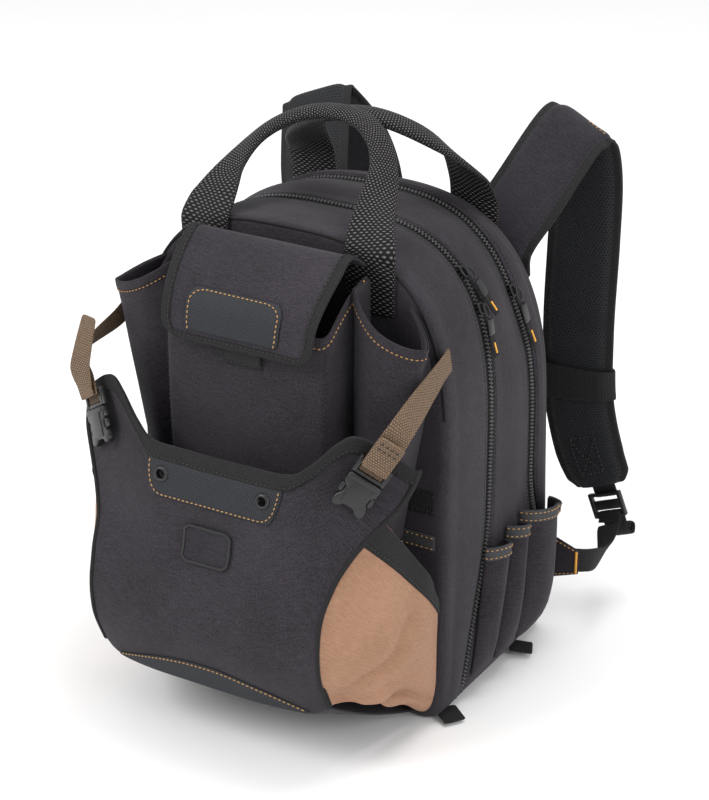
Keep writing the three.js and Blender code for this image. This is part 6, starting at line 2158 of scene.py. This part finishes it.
# Bands sewn on the front wall, and the small tabs at the base

BAND_ACROSS = (112, 154)
BAND_THICK = 1.1
FRONT_BANDS = [
    ("front_elastic", 183, 199, ELASTIC, TAN_THREAD),
    ("front_ribbed_band", 219, 243, KEEPER_TAPE, DARK_THREAD),
]
# The root of a tab at the base and the way that it points, in degrees
BASE_TABS = [(164, -84, 4, -35), (167, 56, 6, 25)]
BASE_TAB_WIDTH = 22
BASE_TAB_THICK = 2.0


def make_front_bands():
    for name, foot, top, finish, sewing in FRONT_BANDS:
        for side, label in SIDES:
            def place(d, o, foot=foot, top=top, side=side):
                return Vector((side * lerp(*BAND_ACROSS, o), FRONT_Y - 0.1, lerp(top, foot, d)))
            face = Face(place, None, BAND_THICK)
            piece = cloth_piece(name + "_" + label, face, shares(6), shares(12), BAND_THICK)
            dress(piece, finish)
            lines = [face.line([(d, 0.02), (d, 0.98)], 0.2, 0.05) for d in (0.16, 0.84)]
            sew(name + "_" + label + "_seams", lines, sewing)


def make_base_tabs():
    """The ends of the webbing that holds the base stick out at its corners."""
    for n, (x, y, z, turn) in enumerate(BASE_TABS):
        a = math.radians(turn)
        across = Vector((-math.sin(a), math.cos(a), 0))
        away = Vector((math.cos(a), math.sin(a), 0))
        for side, label in SIDES:
            rows = []
            for s in (-10, 0, 7, 13):
                root = Vector((x, y, z + 1.6 - 0.12 * s))
                rows.append((root + away * s, across, BASE_TAB_WIDTH, BASE_TAB_THICK))
            band = Band(rows)
            band = band if side > 0 else band.mirrored()
            webbing_piece("base_tab_" + str(n + 1) + "_" + label, band, 8, KEEPER_TAPE)


# Floor, light and camera, in metres: an area light is a place, a size and a power

FLOOR_SIZE = 12
WORLD_STRENGTH = 0.74
LIT_POINT = (0, 0, 0.25)
LIGHTS = [
    ("key", (-1.5, -2.0, 2.3), 1.5, 56),
    ("top", (0.5, 0.6, 2.9), 1.4, 36),
    ("side", (2.6, -0.8, 1.5), 1.1, 24),
]


def make_stage():
    bpy.ops.object.select_all(action="DESELECT")
    bpy.ops.mesh.primitive_plane_add(size=FLOOR_SIZE, location=(0, 0, 0))
    floor = bpy.context.active_object
    floor.name = "floor"
    floor.data.materials.append(floor_paint())
    world = bpy.data.worlds.new("studio")
    bpy.context.scene.world = world
    world.use_nodes = True
    background = world.node_tree.nodes["Background"]
    background.inputs["Color"].default_value = (1, 1, 1, 1)
    background.inputs["Strength"].default_value = WORLD_STRENGTH
    for light in LIGHTS:
        add_light(*light)


def add_light(name, place, size, power):
    data = bpy.data.lights.new(name, "AREA")
    data.size = size
    data.energy = power
    light = bpy.data.objects.new(name, data)
    light.location = place
    light.rotation_euler = (Vector(LIT_POINT) - Vector(place)).to_track_quat("-Z", "Y").to_euler()
    bpy.context.scene.collection.objects.link(light)


def make_camera():
    data = bpy.data.cameras.new("camera")
    data.sensor_width = SENSOR
    data.lens = VIEW_FOCUS_PX / PHOTO_HEIGHT * SENSOR
    data.shift_x = VIEW_LEFT_PX / PHOTO_HEIGHT
    data.shift_y = VIEW_DOWN_PX / PHOTO_HEIGHT
    camera = bpy.data.objects.new("camera", data)
    a, e = math.radians(VIEW_AZIMUTH), math.radians(VIEW_ELEVATION)
    back = Vector((math.sin(a) * math.cos(e), -math.cos(a) * math.cos(e), math.sin(e)))
    camera.location = (Vector(VIEW_TARGET) + back * VIEW_DISTANCE) * MM
    camera.rotation_euler = (-back).to_track_quat("-Z", "Y").to_euler()
    bpy.context.scene.collection.objects.link(camera)
    bpy.context.scene.camera = camera


make_camera()
make_stage()
make_shells()
make_front_piping()
make_zip("front_zip", front_zip_y)
make_zip("rear_zip", rear_zip_y)
make_flap_pocket()
make_closure()
make_tool_pockets()
make_pouch_panel()
for side, label in SIDES:
    make_grommet(side, label)
make_gussets()
make_buckle()
make_tan_straps()
make_handles()
for make in (make_strap, make_keeper):
    make("right", RIGHT_STRAP)
    make("left", LEFT_STRAP)
make_lock()
make_lower_straps()
make_side_pockets()
for slider in SLIDERS:
    make_slider(*slider)
make_front_bands()
make_base_tabs()

bpy.context.scene.view_settings.view_transform = "Standard"
